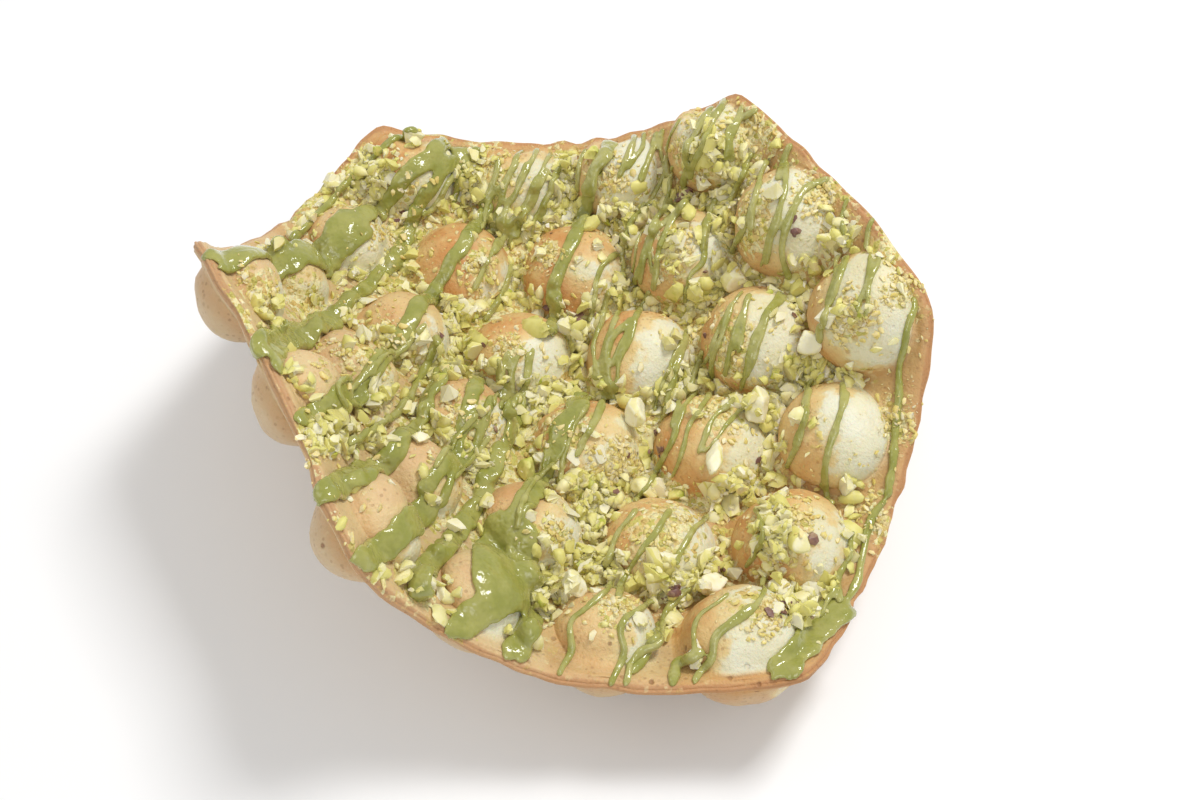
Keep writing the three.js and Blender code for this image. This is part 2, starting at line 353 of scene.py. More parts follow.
@dataclass(frozen=True)
class Sheet:
    """The middle of the baked batter, sagging like a trough."""

    reach: float = 100 * MM
    across_turns: Sizes = (1.35, 0.05, -0.06)
    along_turns: Sizes = (0.02, -0.12, 0.77)
    warps: tuple[tuple[int, int, float], ...] = (
        (1, 1, 9 * MM),
        (2, 1, 9.7 * MM),
        (1, 2, -7.6 * MM),
        (2, 2, -33 * MM),
        (3, 1, -24 * MM),
    )
    lean: float = math.radians(-6)
    steps: int = 32

    def strip(self, turns: Sizes, length: Array) -> tuple[Array, Array]:
        """Follows a strip that turns more and more with its length.

        Args:
            turns: How much it turns, by powers of its length.
            length: How far along it to go, for each point.

        Returns:
            The run and the rise of each point.
        """
        step = length / self.steps
        run = np.zeros_like(length)
        rise = np.zeros_like(length)
        for i in range(self.steps):
            share = step * (i + 0.5) / self.reach
            angle = sum(turn * share ** (power + 1) for power, turn in enumerate(turns))
            run += np.cos(angle) * step
            rise += np.sin(angle) * step
        return run, rise

    def points(self, flat: Array) -> Array:
        """Finds places of the sheet.

        Args:
            flat: Points of the flat sheet, along and across.

        Returns:
            Where they lie on the sagging sheet.
        """
        along = np.asarray(flat[:, 0], dtype=float)
        across = np.asarray(flat[:, 1], dtype=float)
        run_x, rise_x = self.strip(self.along_turns, along)
        run_y, rise_y = self.strip(self.across_turns, across)
        warp = sum(
            height * (along / self.reach) ** p * (across / self.reach) ** q
            for p, q, height in self.warps
        )
        rise = rise_x + rise_y + warp
        cos, sin = math.cos(self.lean), math.sin(self.lean)
        return np.stack([run_x, run_y * cos - rise * sin, run_y * sin + rise * cos], axis=1)

    def frames(self, flat: Array) -> Frames:
        """Finds places of the sheet with its axes there.

        Args:
            flat: Points of the flat sheet, along and across.

        Returns:
            The places, with u along the rows, v across them and n out of the top.
        """
        step = 0.5 * MM
        u = unit(self.points(flat + (step, 0)) - self.points(flat - (step, 0)))
        across = self.points(flat + (0, step)) - self.points(flat - (0, step))
        n = unit(np.cross(u, across))
        return Frames(self.points(flat), u, np.cross(n, u), n)


@dataclass(frozen=True)
class Bubble:
    """One bubble: its middle on the flat sheet, its size and how it baked."""

    along: float
    across: float
    radius: float
    rise: float
    cream: float
    pale_side: Sizes
    slump: float
    bake: float
    tone: float


@dataclass(frozen=True)
class Iron:
    """The pan: rows of round hollows, each in a six-sided cell."""

    counts: tuple[int, ...] = (3, 4, 5, 6, 5, 4, 3)
    pitch: float = 33 * MM
    row_pitch: float = 26.2 * MM
    radii: Sizes = (10.8 * MM, 11.1 * MM, 12 * MM, 13.2 * MM, 13.7 * MM, 13.9 * MM, 13.7 * MM)
    first_fill: float = 0.92
    spread: float = 0.035
    rise: float = 0.95
    creams: tuple[Sizes, ...] = (
        (0.1, 0.1, 0.12),
        (0.12, 0.08, 0.08, 0.26),
        (0.34, 0.12, 0.07, 0.18, 0.13),
        (0.32, 0.05, 0.17, 0.17, 0.28, 0.36),
        (0.24, 0.08, 0.18, 0.15, 0.12),
        (0.3, 0.13, 0.22, 0.3),
        (0.3, 0.32, 0.38),
    )
    pale_sides: tuple[Sizes, ...] = (
        (0.7, 0.4, 0.5),
        (0.95, 0.15, 0.4),
        (0.8, 0.4, 0.45),
        (0.8, 0.4, 0.45),
        (0.75, 0.5, 0.45),
        (0.6, 0.6, 0.5),
        (0.45, 0.7, 0.5),
    )
    slumps: Sizes = (0.8, 0.75, 0.45, 0.2, 0.15, 0.12, 0.1)
    bakes: Sizes = (0.35, 0.45, 0.75, 1.0, 1.0, 0.95, 0.9)
    shuffle: Sizes = (12.9898, 43758.5453)

    def bubbles(self) -> list[Bubble]:
        """Lists all the bubbles, row by row.

        Returns:
            The bubbles.
        """
        made = []
        last = len(self.counts) - 1
        for index, count in enumerate(self.counts):
            for place in range(count):
                key = (len(made) + 1) * self.shuffle[0]
                uneven = 2.0 * ((math.sin(key) * self.shuffle[1]) % 1.0) - 1.0
                fill = self.first_fill if place == 0 else 1.0
                radius = self.radii[index] * fill * (1.0 + self.spread * uneven)
                made.append(
                    Bubble(
                        along=(place - (count - 1) / 2) * self.pitch,
                        across=(index - last / 2) * self.row_pitch,
                        radius=radius,
                        rise=radius * self.rise,
                        cream=self.creams[index][place],
                        pale_side=self.pale_sides[index],
                        slump=self.slumps[index],
                        bake=self.bakes[index],
                        tone=uneven,
                    )
                )
        return made

    def cell_edge(self, per_side: int) -> Array:
        """Walks round a cell's edge, counter-clockwise from its right lower corner.

        Args:
            per_side: How many points each of its six sides has.

        Returns:
            The points, one to a row.
        """
        side = self.pitch / 2
        tip = (self.row_pitch + side * side / self.row_pitch) / 2
        shoulder = self.row_pitch - tip
        right = [(side, -shoulder), (side, shoulder), (0, tip)]
        corners = np.array(right + [(-side, shoulder), (-side, -shoulder), (0, -tip)])
        shares = (np.arange(per_side) / per_side)[None, :, None]
        following = np.roll(corners, -1, axis=0)
        return (corners[:, None] * (1 - shares) + following[:, None] * shares).reshape(-1, 2)


@dataclass(frozen=True)
class Rim:
    """The outline of the waffle: six soft sides and a flap of batter that ran out."""

    sides: tuple[tuple[float, float], ...] = (
        (90, 95 * MM),
        (32.2, 89 * MM),
        (-32.2, 85 * MM),
        (-90, 93 * MM),
        (-147.8, 86 * MM),
        (147.8, 81 * MM),
    )
    sharpness: float = 50
    flap_faces: float = -68
    flap_width: float = 9
    flap_reach: float = 10 * MM
    flange_least: float = 1.6 * MM
    ragged: Swell = Swell(0.5 * MM, 9 * MM, 5)
    ragged_turn: float = 80 * MM
    scale: float = 10.0

    def reach(self, angle: Array) -> Array:
        """Measures from the middle to the rim.

        Args:
            angle: The directions to measure in.

        Returns:
            The distance in each direction.
        """
        total = np.zeros_like(angle)
        for faces, distance in self.sides:
            facing = np.clip(np.cos(angle - math.radians(faces)), 0.0, None)
            total += (facing / distance / self.scale) ** self.sharpness
        off = (np.degrees(angle) - self.flap_faces) / self.flap_width
        sides = total ** (-1 / self.sharpness) / self.scale
        return sides + self.flap_reach * np.exp(-off * off)

    def within(self, flat: Array) -> Array:
        """Draws flat points in until they leave room for the flange.

        Args:
            flat: The points, one to a row.

        Returns:
            The points, none of them too near the rim.
        """
        most = self.reach(angles(flat)) - self.flange_least
        away = np.maximum(lengths(flat), TINY)
        return flat * np.minimum(1.0, most / away)[:, None]


# ---- The crust -------------------------------------------------------------------------------


@dataclass
class Crust:
    """The waffle itself: bubbles, web, flange and the flats that it rests on."""

    sheet: Sheet
    iron: Iron
    rim: Rim
    web: float = 3.4 * MM
    foot_rise: float = 0.7 * MM
    per_side: int = 8
    dome_rings: int = 24
    web_shares: Sizes = (0.07, 0.18, 0.36, 0.6, 0.8, 1.0)
    flange_steps: tuple[tuple[float, float], ...] = (
        (-1.0 * MM, 1.3 * MM),
        (-0.3 * MM, 1.05 * MM),
        (0.0 * MM, 0.7 * MM),
        (0.0 * MM, 0.42 * MM),
        (0.4 * MM, 0.25 * MM),
        (0.5 * MM, 0.0 * MM),
    )
    brim_level: float = 0.05
    flange_root: tuple[float, float] = (0.8 * MM, 0.1 * MM)
    rest_flat: float = 2.5 * MM
    flare: float = 0.5 * MM
    flare_height: float = 0.22
    lip_fade: float = 0.3
    rim_foot: float = 0.5 * MM
    rigid_from: float = 3 * MM
    brim_growth: float = 1.05
    lift_span: tuple[float, float] = (0.14, 0.5)
    slump_gain: float = 1.6
    slump_swell: Swell = Swell(0.4 * MM, 20 * MM, 900)
    skin_swell: Swell = Swell(0.12 * MM, 5 * MM, 800)
    web_swell: Swell = Swell(0.3 * MM, 14 * MM, 3)
    pale_swells: tuple[Swell, Swell] = (Swell(0.16, 11 * MM, 77), Swell(0.06, 4 * MM, 78))
    dents: int = 2
    dent_seed: int = 400
    dent_heights: tuple[float, float] = (0.35, 0.95)
    dent_widths: tuple[float, float] = (0.45, 0.75)
    dent_depths: tuple[float, float] = (0.3, 1.5)
    less_below: float = 0.35
    rim_shade: tuple[float, float] = (0.955, 1.0)
    # How wide the ring of painted shade at each bubble's foot is, in bubble radii.
    foot_shade_width: float = 0.1
    top_height: float = 0.4 * MM
    crisp: float = 55

    def __post_init__(self) -> None:
        """Works out the bubbles and the sheet's axes at each of them."""
        self.bubbles = self.iron.bubbles()
        self.middles = np.array([(b.along, b.across) for b in self.bubbles])
        self.frames = self.sheet.frames(self.middles)
        self.offset = np.zeros(3)

    def each(self, field: str) -> Array:
        """One measure of every bubble."""
        return np.array([getattr(bubble, field) for bubble in self.bubbles])

    def half_cell(self) -> Object:
        """Makes a half ball with a wide brim of rings.

        Returns:
            The pattern for every half bubble.
        """
        segments = 6 * self.per_side
        bpy.ops.mesh.primitive_uv_sphere_add(
            segments=segments, ring_count=self.dome_rings, radius=1.0
        )
        cell = bpy.context.active_object
        low = math.sin(math.pi / self.dome_rings)
        hair = 0.01
        edit(cell, points_of(cell)[:, 2] < low - hair)
        bpy.ops.mesh.delete(type="VERT")
        close()
        edit(cell, points_of(cell)[:, 2] < low + hair)
        drop = low
        wider = (self.brim_growth, self.brim_growth, 1.0)
        for _ in self.web_shares:
            bpy.ops.mesh.extrude_region_move()
            bpy.ops.transform.resize(value=wider, center_override=(0, 0, 0))
            bpy.ops.transform.translate(value=(0, 0, -self.brim_level - drop))
            drop = 0.0
        close()
        return cell

    def lay_cell(self, pattern: Object, bubble: Bubble) -> Object:
        """Copies the pattern and shapes the copy to one bubble on the flat sheet.

        Args:
            pattern: The half cell.
            bubble: The bubble that the copy becomes.

        Returns:
            The top half of the bubble, with the web as far as its cell's edge.
        """
        cell = pattern.copy()
        cell.data = pattern.data.copy()
        bpy.context.scene.collection.objects.link(cell)
        spots = points_of(cell)
        segments = 6 * self.per_side
        middle = np.array((bubble.along, bubble.across))
        edge = self.iron.cell_edge(self.per_side)
        heading = angles(edge)
        edge = self.rim.within(edge + middle) - middle
        turn = np.round(angles(spots) / math.tau * segments)
        index = (turn.astype(int) + self.per_side // 2) % segments
        ways = headings(heading)[index]
        most = lengths(edge)[index] - self.rim_foot
        squeeze = np.minimum(1.0, most / (bubble.radius + self.flare))
        low = math.pi / self.dome_rings
        slope = np.arcsin(np.clip(spots[:, 2], -1, 1))
        is_dome = spots[:, 2] > 0
        base = self.web / 2 + self.foot_rise
        climb = (np.sin(slope) - math.sin(low)) / (1 - math.sin(low))
        reach = bubble.radius * np.cos(slope) / math.cos(low)
        reach += self.flare * np.clip(1 - climb / self.flare_height, 0, 1) ** 2
        reach *= squeeze
        height = base + (bubble.rise - base) * climb
        level = np.round(-spots[:, 2] / self.brim_level).astype(int)
        share = np.array(self.web_shares)[np.clip(level, 1, len(self.web_shares)) - 1]
        foot = ways * ((bubble.radius + self.flare) * squeeze)[:, None]
        brim = foot + (edge[index] - foot) * share[:, None]
        flat = np.where(is_dome[:, None], ways * reach[:, None], brim) + middle
        lip = self.web / 2 + self.foot_rise * np.exp(-((share / self.lip_fade) ** 2))
        put_points(cell, np.column_stack([flat, np.where(is_dome, height, lip)]))
        return cell

    def flange(self, plate: Object) -> None:
        """Grows the flange and half of the rim out of the plate's open edge.

        Args:
            plate: The top half of the waffle, on the flat sheet.
        """
        edit(plate)
        bpy.ops.mesh.select_all(action="DESELECT")
        bpy.ops.mesh.select_non_manifold(
            extend=False,
            use_wire=False,
            use_boundary=True,
            use_multi_face=False,
            use_non_contiguous=False,
            use_verts=False,
        )
        for step in range(len(self.flange_steps) + 1):
            bpy.ops.mesh.extrude_region_move()
            close()
            spots = points_of(plate)
            chosen = np.empty(len(spots), dtype=bool)
            plate.data.vertices.foreach_get("select", chosen)
            angle = angles(spots[chosen])
            heading = headings(angle)
            reach = self.rim.reach(angle)
            reach += self.rim.ragged.over(heading * self.rim.ragged_turn)
            if step == 0:
                away = (lengths(spots[chosen, :2]) + reach - self.flange_root[0]) / 2
                height = self.web / 2 - self.flange_root[1]
            else:
                out, height = self.flange_steps[step - 1]
                away = reach + out
            spots[chosen] = np.column_stack([heading * away[:, None], np.full(len(away), height)])
            put_points(plate, spots)
            bpy.ops.object.mode_set(mode="EDIT")
        close()

    def mirror_below(self, plate: Object) -> None:
        """Doubles the plate downwards and closes it along the rim's ridge.

        Args:
            plate: The top half of the waffle, on the flat sheet.
        """
        edit(plate)
        bpy.ops.mesh.duplicate()
        bpy.ops.transform.resize(value=(1, 1, -1), center_override=(0, 0, 0))
        bpy.ops.mesh.flip_normals()
        bpy.ops.mesh.select_all(action="SELECT")
        bpy.ops.mesh.remove_doubles(threshold=WELD)
        bpy.ops.mesh.normals_make_consistent(inside=False)
        close()

    def nearest(self, flat: Array) -> Array:
        """The number of the bubble whose cell holds each flat point."""
        gaps = np.linalg.norm(flat[:, None, :2] - self.middles[None], axis=2)
        return gaps.argmin(axis=1)

    def slump(self, flat: Array, cell: Array) -> Array:
        """Dents and swells of the bubbles, which baked and sank unevenly.

        Args:
            flat: Vertices over the flat sheet.
            cell: The bubble that each belongs to.

        Returns:
            The vertices with every bubble's own shape.
        """
        shaped = flat.copy()
        for number, bubble in enumerate(self.bubbles):
            rng = np.random.default_rng(self.dent_seed + number)
            mine = cell == number
            local = flat[mine] - (bubble.along, bubble.across, 0)
            ways = unit(local)
            lift = ease(np.abs(local[:, 2]) / bubble.rise, *self.lift_span)
            push = (1 + self.slump_gain * bubble.slump) * self.slump_swell.over(local, number)
            push += self.skin_swell.over(local, number)
            for _ in range(self.dents):
                angle = rng.uniform(0, math.tau)
                height = rng.uniform(*self.dent_heights)
                spot = np.array((math.cos(angle), math.sin(angle), 0)) * math.sqrt(1 - height**2)
                spot[2] = height
                off = np.arccos(np.clip(ways @ spot, -1, 1)) / rng.uniform(*self.dent_widths)
                depth = rng.uniform(*self.dent_depths) * MM * bubble.slump
                push -= depth * np.exp(-off * off)
            shaped[mine] = flat[mine] + ways * (push * lift)[:, None]
        return shaped

    def settle(self, flat: Array, cell: Array) -> Array:
        """Bends the flat plate into the sag, with each bubble kept round.

        Args:
            flat: Vertices over the flat sheet: along, across and height.
            cell: The bubble that each belongs to.

        Returns:
            The vertices in their places.
        """
        here = self.sheet.frames(flat[:, :2])
        bent = here.point + here.n * flat[:, 2:]
        home = self.middles[cell]
        local = flat[:, :2] - home
        rigid = (
            self.frames.point[cell]
            + self.frames.u[cell] * local[:, :1]
            + self.frames.v[cell] * local[:, 1:]
            + self.frames.n[cell] * flat[:, 2:]
        )
        share = self.standing(flat)[:, None]
        return bent * (1 - share) + rigid * share

    def standing(self, flat: Array) -> Array:
        """How far each vertex belongs to a bubble, from 0 on the web to 1."""
        return ease(np.abs(flat[:, 2]), self.web / 2, self.web / 2 + self.rigid_from)

    def build(self) -> Object:
        """Makes the whole waffle.

        Returns:
            The waffle in its place, with notes for its material.
        """
        pattern = self.half_cell()
        cells = [self.lay_cell(pattern, bubble) for bubble in self.bubbles]
        bpy.data.objects.remove(pattern)
        plate = join_all(cells, "crust")
        edit(plate)
        bpy.ops.mesh.remove_doubles(threshold=WELD)
        close()
        self.flange(plate)
        self.mirror_below(plate)
        in_order(plate)
        flat = points_of(plate)
        cell = self.nearest(flat)
        self.write_notes(plate, flat, cell)
        places = self.settle(self.slump(flat, cell), cell)
        normals = self.sheet.frames(flat[:, :2]).n
        places += normals * ((1 - self.standing(flat)) * self.web_swell.over(places))[:, None]
        depth = self.frames.n[:, 2] * self.each("rise")
        floor = (self.frames.point[:, 2] - depth).min() + self.rest_flat
        places[:, 2] = np.maximum(places[:, 2], floor)
        low, high = (np.array(corner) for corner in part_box("waffle"))
        middle = (places.min(axis=0) + places.max(axis=0)) / 2
        self.offset = (low + high) / 2 - middle
        self.offset[2] = -floor
        put_points(plate, places + self.offset)
        smooth(plate, self.crisp)
        return plate

    def write_notes(self, plate: Object, flat: Array, cell: Array) -> None:
        """Notes where each vertex lies on its bubble, for the baked colours and the painted crease
        shade.

        Args:
            plate: The plate.
            flat: Its vertices over the flat sheet.
            cell: The bubble that each belongs to.
        """
        radius, rise, cream = (self.each(field)[cell] for field in ("radius", "rise", "cream"))
        aside = (flat[:, :2] - self.middles[cell]) / radius[:, None]
        ways = unit(np.column_stack([aside, flat[:, 2] / rise]))
        sides = unit(self.each("pale_side")[cell])
        wander = self.pale_swells[0].over(flat) + self.pale_swells[1].over(flat)
        pale = (ways * sides).sum(axis=1) - (1 - 2 * cream) + wander
        outward = lengths(flat[:, :2]) / self.rim.reach(angles(flat))
        note(plate, "pale", np.where(flat[:, 2] > 0, pale, pale - self.less_below))
        note(plate, "lift", np.abs(flat[:, 2]) / rise)
        note(plate, "tone", self.each("tone")[cell])
        note(plate, "bake", self.each("bake")[cell])
        note(plate, "under", (flat[:, 2] < 0).astype(float))
        note(plate, "rimward", ease(outward, *self.rim_shade))
        # A ring round each bubble's foot, where the material paints shade into the crease.
        note(plate, "foot", np.exp(-(((lengths(aside) - 1.0) / self.foot_shade_width) ** 2)))

    def over_bubbles(self, places: Array) -> Array:
        """Measures how far out on its bubble each place is.

        Args:
            places: Places in space, one to a row.

        Returns:
            Distances from the nearest bubble's axis, in that bubble's radii.
        """
        off = (places - self.offset)[:, None] - self.frames.point[None]
        height = (off * self.frames.n[None]).sum(axis=2)
        aside = off - self.frames.n[None] * height[:, :, None]
        return (np.linalg.norm(aside, axis=2) / self.each("radius")).min(axis=1)

    def room(self, places: Array) -> Array:
        """Measures how far inside the rim each place lies.

        Args:
            places: Places in space, one to a row.

        Returns:
            Distances from the rim, or less than nothing below the sheet's top.
        """
        off = (places - self.offset)[:, None] - self.frames.point[None]
        height = (off * self.frames.n[None]).sum(axis=2)
        along = (off * self.frames.u[None]).sum(axis=2)
        across = (off * self.frames.v[None]).sum(axis=2)
        near = np.hypot(along, across).argmin(axis=1)
        each = np.arange(len(places))
        flat = self.middles[near] + np.stack([along[each, near], across[each, near]], axis=1)
        gap = self.rim.reach(angles(flat)) - lengths(flat)
        return np.where(height[each, near] < self.top_height, -1.0, gap)


# ---- The sauce -------------------------------------------------------------------------------


@dataclass(frozen=True)
class Stroke:
    """One pass of the sauce bottle, as points on the pouring plane, and its width."""

    width: float
    places: tuple[tuple[float, float], ...]


@dataclass(frozen=True)
class Pour:
    """The plane that toppings fall from: u to its right, v up it, in metres."""

    aim: Sizes = (14 * MM, -0.6 * MM, 30 * MM)
    right: Sizes = (0.5132, 0.8579, 0.0270)
    up: Sizes = (-0.6894, 0.3933, 0.6084)
    fall: Sizes = (-0.5113, 0.3308, -0.7932)
    height: float = 250 * MM

    def drop(self, tree: BVHTree, u: float, v: float) -> tuple[Vector, Vector] | None:
        """Drops something from the plane.

        Args:
            tree: The surfaces that it may fall on.
            u: How far right of the plane's middle it starts.
            v: How far up from there.

        Returns:
            Where it lands and the surface's normal there, or None where it misses.
        """
        start = Vector(self.aim) + Vector(self.right) * u + Vector(self.up) * v
        start -= Vector(self.fall) * self.height
        place, normal, _, _ = tree.ray_cast(start, Vector(self.fall))
        return None if place is None else (place, normal)


LINE_POINTS = 24
SPAN_POINTS = 16


def curve_through(places: Array, step: float) -> Array:
    """Points at even steps on a smooth curve through the given ones.

    Args:
        places: Points to pass through, one to a row.
        step: Distance between the points of the result.

    Returns:
        Points on the curve, one to a row.
    """
    if len(places) == 2:
        fine = np.linspace(places[0], places[1], LINE_POINTS)
    else:
        padded = np.vstack([2 * places[0] - places[1], places, 2 * places[-1] - places[-2]])
        t = np.linspace(0, 1, SPAN_POINTS, endpoint=False)[:, None]
        spans = []
        for a, b, c, d in zip(padded[:-3], padded[1:-2], padded[2:-1], padded[3:], strict=True):
            bend = 2 * a - 5 * b + 4 * c - d
            spans.append(0.5 * (2 * b + (c - a) * t + bend * t**2 + (3 * b - a - 3 * c + d) * t**3))
        fine = np.vstack([*spans, places[-1:]])
    return even_steps(fine, step)


def even_steps(places: Array, step: float) -> Array:
    """Lays a line of points out again at even steps.

    Args:
        places: The line, one point to a row.
        step: About how far apart its points will be.

    Returns:
        The new points.
    """
    reach = np.concatenate([[0.0], np.cumsum(lengths(np.diff(places, axis=0)))])
    count = max(int(reach[-1] / step) + 1, 3)
    marks = np.linspace(0, reach[-1], count)
    return np.stack([np.interp(marks, reach, column) for column in places.T], axis=1)


def softened(line: Array, weight: float) -> Array:
    """The inner points of a line, each drawn towards its neighbours."""
    return (line[:-2] + weight * line[1:-1] + line[2:]) / (weight + 2)


@dataclass(frozen=True)
class Drizzle:
    """Sauce poured in lines that lie over whatever is below."""

    pour: Pour
    crust: Crust
    name: str
    strokes: tuple[Stroke, ...]
    seed: int
    voxel: float
    overrun: float = 0.0
    step: float = 0.6 * MM
    fullness: float = 1.1
    sway: Swell = Swell(0.25 * MM, 8 * MM)
    lane: float = 1.7 * MM
    lane_edge: float = 0.8 * MM
    lane_share: float = 0.86
    lane_overlap: float = 2.4
    lane_sway: Swell = Swell(0.45 * MM, 7 * MM, 40)
    fewest: int = 3
    longest_gap: float = 1.5
    sunk: float = 0.12
    evening: int = 4
    settling: int = 6
    sides: int = 12
    taper: float = 0.6
    blunt: float = 0.02
    seeds: int = 99999
    widths: tuple[Swell, Swell] = (Swell(0.24, 9 * MM), Swell(0.12, 3 * MM, 1))
    heights: Swell = Swell(0.2, 5 * MM, 2)
    tallness: float = 0.42
    tallest: float = 0.95 * MM
    squareness: float = 0.8
    flat_below: float = 0.7
    melting: int = 7
    most_triangles: int = 190000
    least_faces: int = 40

    def drape(self, tree: BVHTree, path: Array, lift: float) -> tuple[Array, Array] | None:
        """Lays a line over the surfaces below it.

        Args:
            tree: What it falls on.
            path: The line on the pouring plane.
            lift: Height of its middle over what it lies on.

        Returns:
            Its points and the normals under them, or None where it misses.
        """
        landed = [self.pour.drop(tree, u, v) for u, v in path]
        landed = np.array([hit[0] for hit in landed if hit is not None])
        if len(landed) < self.fewest:
            return None
        landed = landed[self.crust.room(landed) > 0]
        if len(landed) < self.fewest:
            return None
        line = [landed[0]]
        for spot in landed[1:]:
            start = line[-1]
            gap = np.linalg.norm(spot - start)
            extra = int(gap / (self.longest_gap * self.step))
            for i in range(extra):
                between = start + (spot - start) * (i + 1) / (extra + 1)
                line.append(np.array(tree.find_nearest(Vector(between))[0]))
            line.append(spot)
        line = even_steps(np.array(line), self.step)
        for _ in range(self.evening):
            line[1:-1] = softened(line, 2)
        normals = np.empty_like(line)
        for i, spot in enumerate(line):
            place, normal, _, _ = tree.find_nearest(Vector(spot))
            over = (Vector(spot) - place).dot(normal)
            line[i] = spot if over > lift else np.array(place + normal * lift)
            normals[i] = normal
        for _ in range(self.settling):
            normals[1:-1] = softened(normals, 2)
            line[1:-1] = softened(line, 4)
        return line, unit(normals)

    def thread(self, line: Array, normals: Array, width: float, seed: int) -> tuple[Array, Array]:
        """A closed flattened tube along a line.

        Args:
            line: Its middle, one point to a row.
            normals: Which way is up at each point.
            width: Its width.
            seed: Picks how its width wanders.

        Returns:
            Its vertices and its four-sided faces.
        """
        ahead = unit(np.gradient(line, axis=0))
        side = unit(np.cross(ahead, normals))
        up = np.cross(side, ahead)
        count = len(line)
        reach = np.arange(count) * self.step
        close_end = np.minimum(reach, reach[-1] - reach)
        taper = np.sqrt(np.clip(close_end / (width * self.taper), self.blunt, 1.0))
        wander = 1 + self.widths[0].over(line, seed) + self.widths[1].over(line, seed)
        half = width / 2 * taper * wander
        tall = min(self.tallness * width, self.tallest) * taper
        tall = tall * (1 + self.heights.over(line, seed))
        turn = np.linspace(0, math.tau, self.sides, endpoint=False)
        across = np.sign(np.cos(turn)) * np.abs(np.cos(turn)) ** self.squareness
        over = np.sign(np.sin(turn)) * np.abs(np.sin(turn)) ** self.squareness
        over = np.where(over < 0, over * self.flat_below, over)
        sideways = side[:, None] * (half[:, None] * across[None])[:, :, None]
        upwards = up[:, None] * (tall[:, None] * over[None])[:, :, None]
        places = (line[:, None] + (sideways + upwards)).reshape(-1, 3)
        near = np.arange(count - 1)[:, None] * self.sides + np.arange(self.sides)
        beside = np.roll(near, -1, axis=1)
        faces = np.stack([near, beside, beside + self.sides, near + self.sides], axis=2)
        return places, np.vstack([faces.reshape(-1, 4), self.caps(count)])

    def caps(self, count: int) -> Array:
        """Closes both ends of a tube.

        Args:
            count: How many rings of points the tube has.

        Returns:
            The faces, one to a row.
        """
        i = np.arange(self.sides // 2 - 1)
        near = np.stack([i, i + 1, self.sides - 2 - i, self.sides - 1 - i], axis=1)
        far = near[:, ::-1] + (count - 1) * self.sides
        return np.vstack([near[:, ::-1], far[:, ::-1]])

    def run_on(self, path: Array) -> Array:
        """Carries a line on past both of its ends.

        Args:
            path: The line on the pouring plane.

        Returns:
            The longer line.
        """
        if not self.overrun:
            return path
        start = path[0] - path[3]
        finish = path[-1] - path[-4]
        start *= self.overrun / np.linalg.norm(start)
        finish *= self.overrun / np.linalg.norm(finish)
        return even_steps(np.vstack([path[0] + start, path, path[-1] + finish]), self.step)

    def lanes(self, stroke: Stroke, number: int) -> list[tuple[Array, float]]:
        """Splits a stroke into lines of sauce that run side by side and overlap.

        Args:
            stroke: The stroke.
            number: Its number, which picks how it sways.

        Returns:
            Each line on the pouring plane, with its width.
        """
        path = self.run_on(curve_through(np.array(stroke.places) * MM, self.step))
        swaying = [self.sway.over(path, turn) for turn in (self.seed + number, number)]
        path = path + np.stack(swaying, axis=1)
        width = stroke.width * self.fullness * MM
        count = max(1, math.ceil((width - self.lane_edge) / self.lane))
        if count == 1:
            return [(path, width)]
        ahead = unit(np.gradient(path, axis=0))
        aside = np.stack([-ahead[:, 1], ahead[:, 0]], axis=1)
        lines = []
        for lane in range(count):
            shift = ((lane + 0.5) / count - 0.5) * width * self.lane_share
            more = math.sqrt((width / 2) ** 2 - shift**2)
            line = path + aside * shift
            line += aside * self.lane_sway.over(line, lane)[:, None]
            line = np.vstack([line[:1] - ahead[:1] * more, line, line[-1:] + ahead[-1:] * more])
            lines.append((even_steps(line, self.step), width / count * self.lane_overlap))
        return lines

    def lay(self, tree: BVHTree) -> Object:
        """Pours every stroke and lets them run together.

        Args:
            tree: What the sauce falls on.

        Returns:
            The sauce, as one closed surface.
        """
        all_places = []
        all_faces = []
        count = 0
        rng = np.random.default_rng(self.seed)
        lines = [self.lanes(stroke, number) for number, stroke in enumerate(self.strokes)]
        for line, width in (lane for lanes in lines for lane in lanes):
            draped = self.drape(tree, line, self.sunk * width)
            if draped is None or len(draped[0]) <= self.fewest:
                continue
            places, faces = self.thread(*draped, width, int(rng.integers(1, self.seeds)))
            all_places.append(places)
            all_faces.append(faces + count)
            count += len(places)
        sauce = new_piece(self.name, np.concatenate(all_places), np.concatenate(all_faces))
        finish_with(sauce, "REMESH", mode="VOXEL", voxel_size=self.voxel, use_smooth_shade=True)
        finish_with(sauce, "SMOOTH", factor=0.5, iterations=self.melting)
        amount = len(triangles_of(sauce))
        if amount > self.most_triangles:
            finish_with(sauce, "DECIMATE", ratio=self.most_triangles / amount)
        sauce = drop_scraps(sauce, self.least_faces)
        smooth(sauce)
        return sauce


def strokes(*rows: Sizes) -> tuple[Stroke, ...]:
    """Strokes from rows of a width and then of places, u and v in turn, in millimetres."""
    return tuple(Stroke(row[0], tuple(zip(row[1::2], row[2::2], strict=True))) for row in rows)


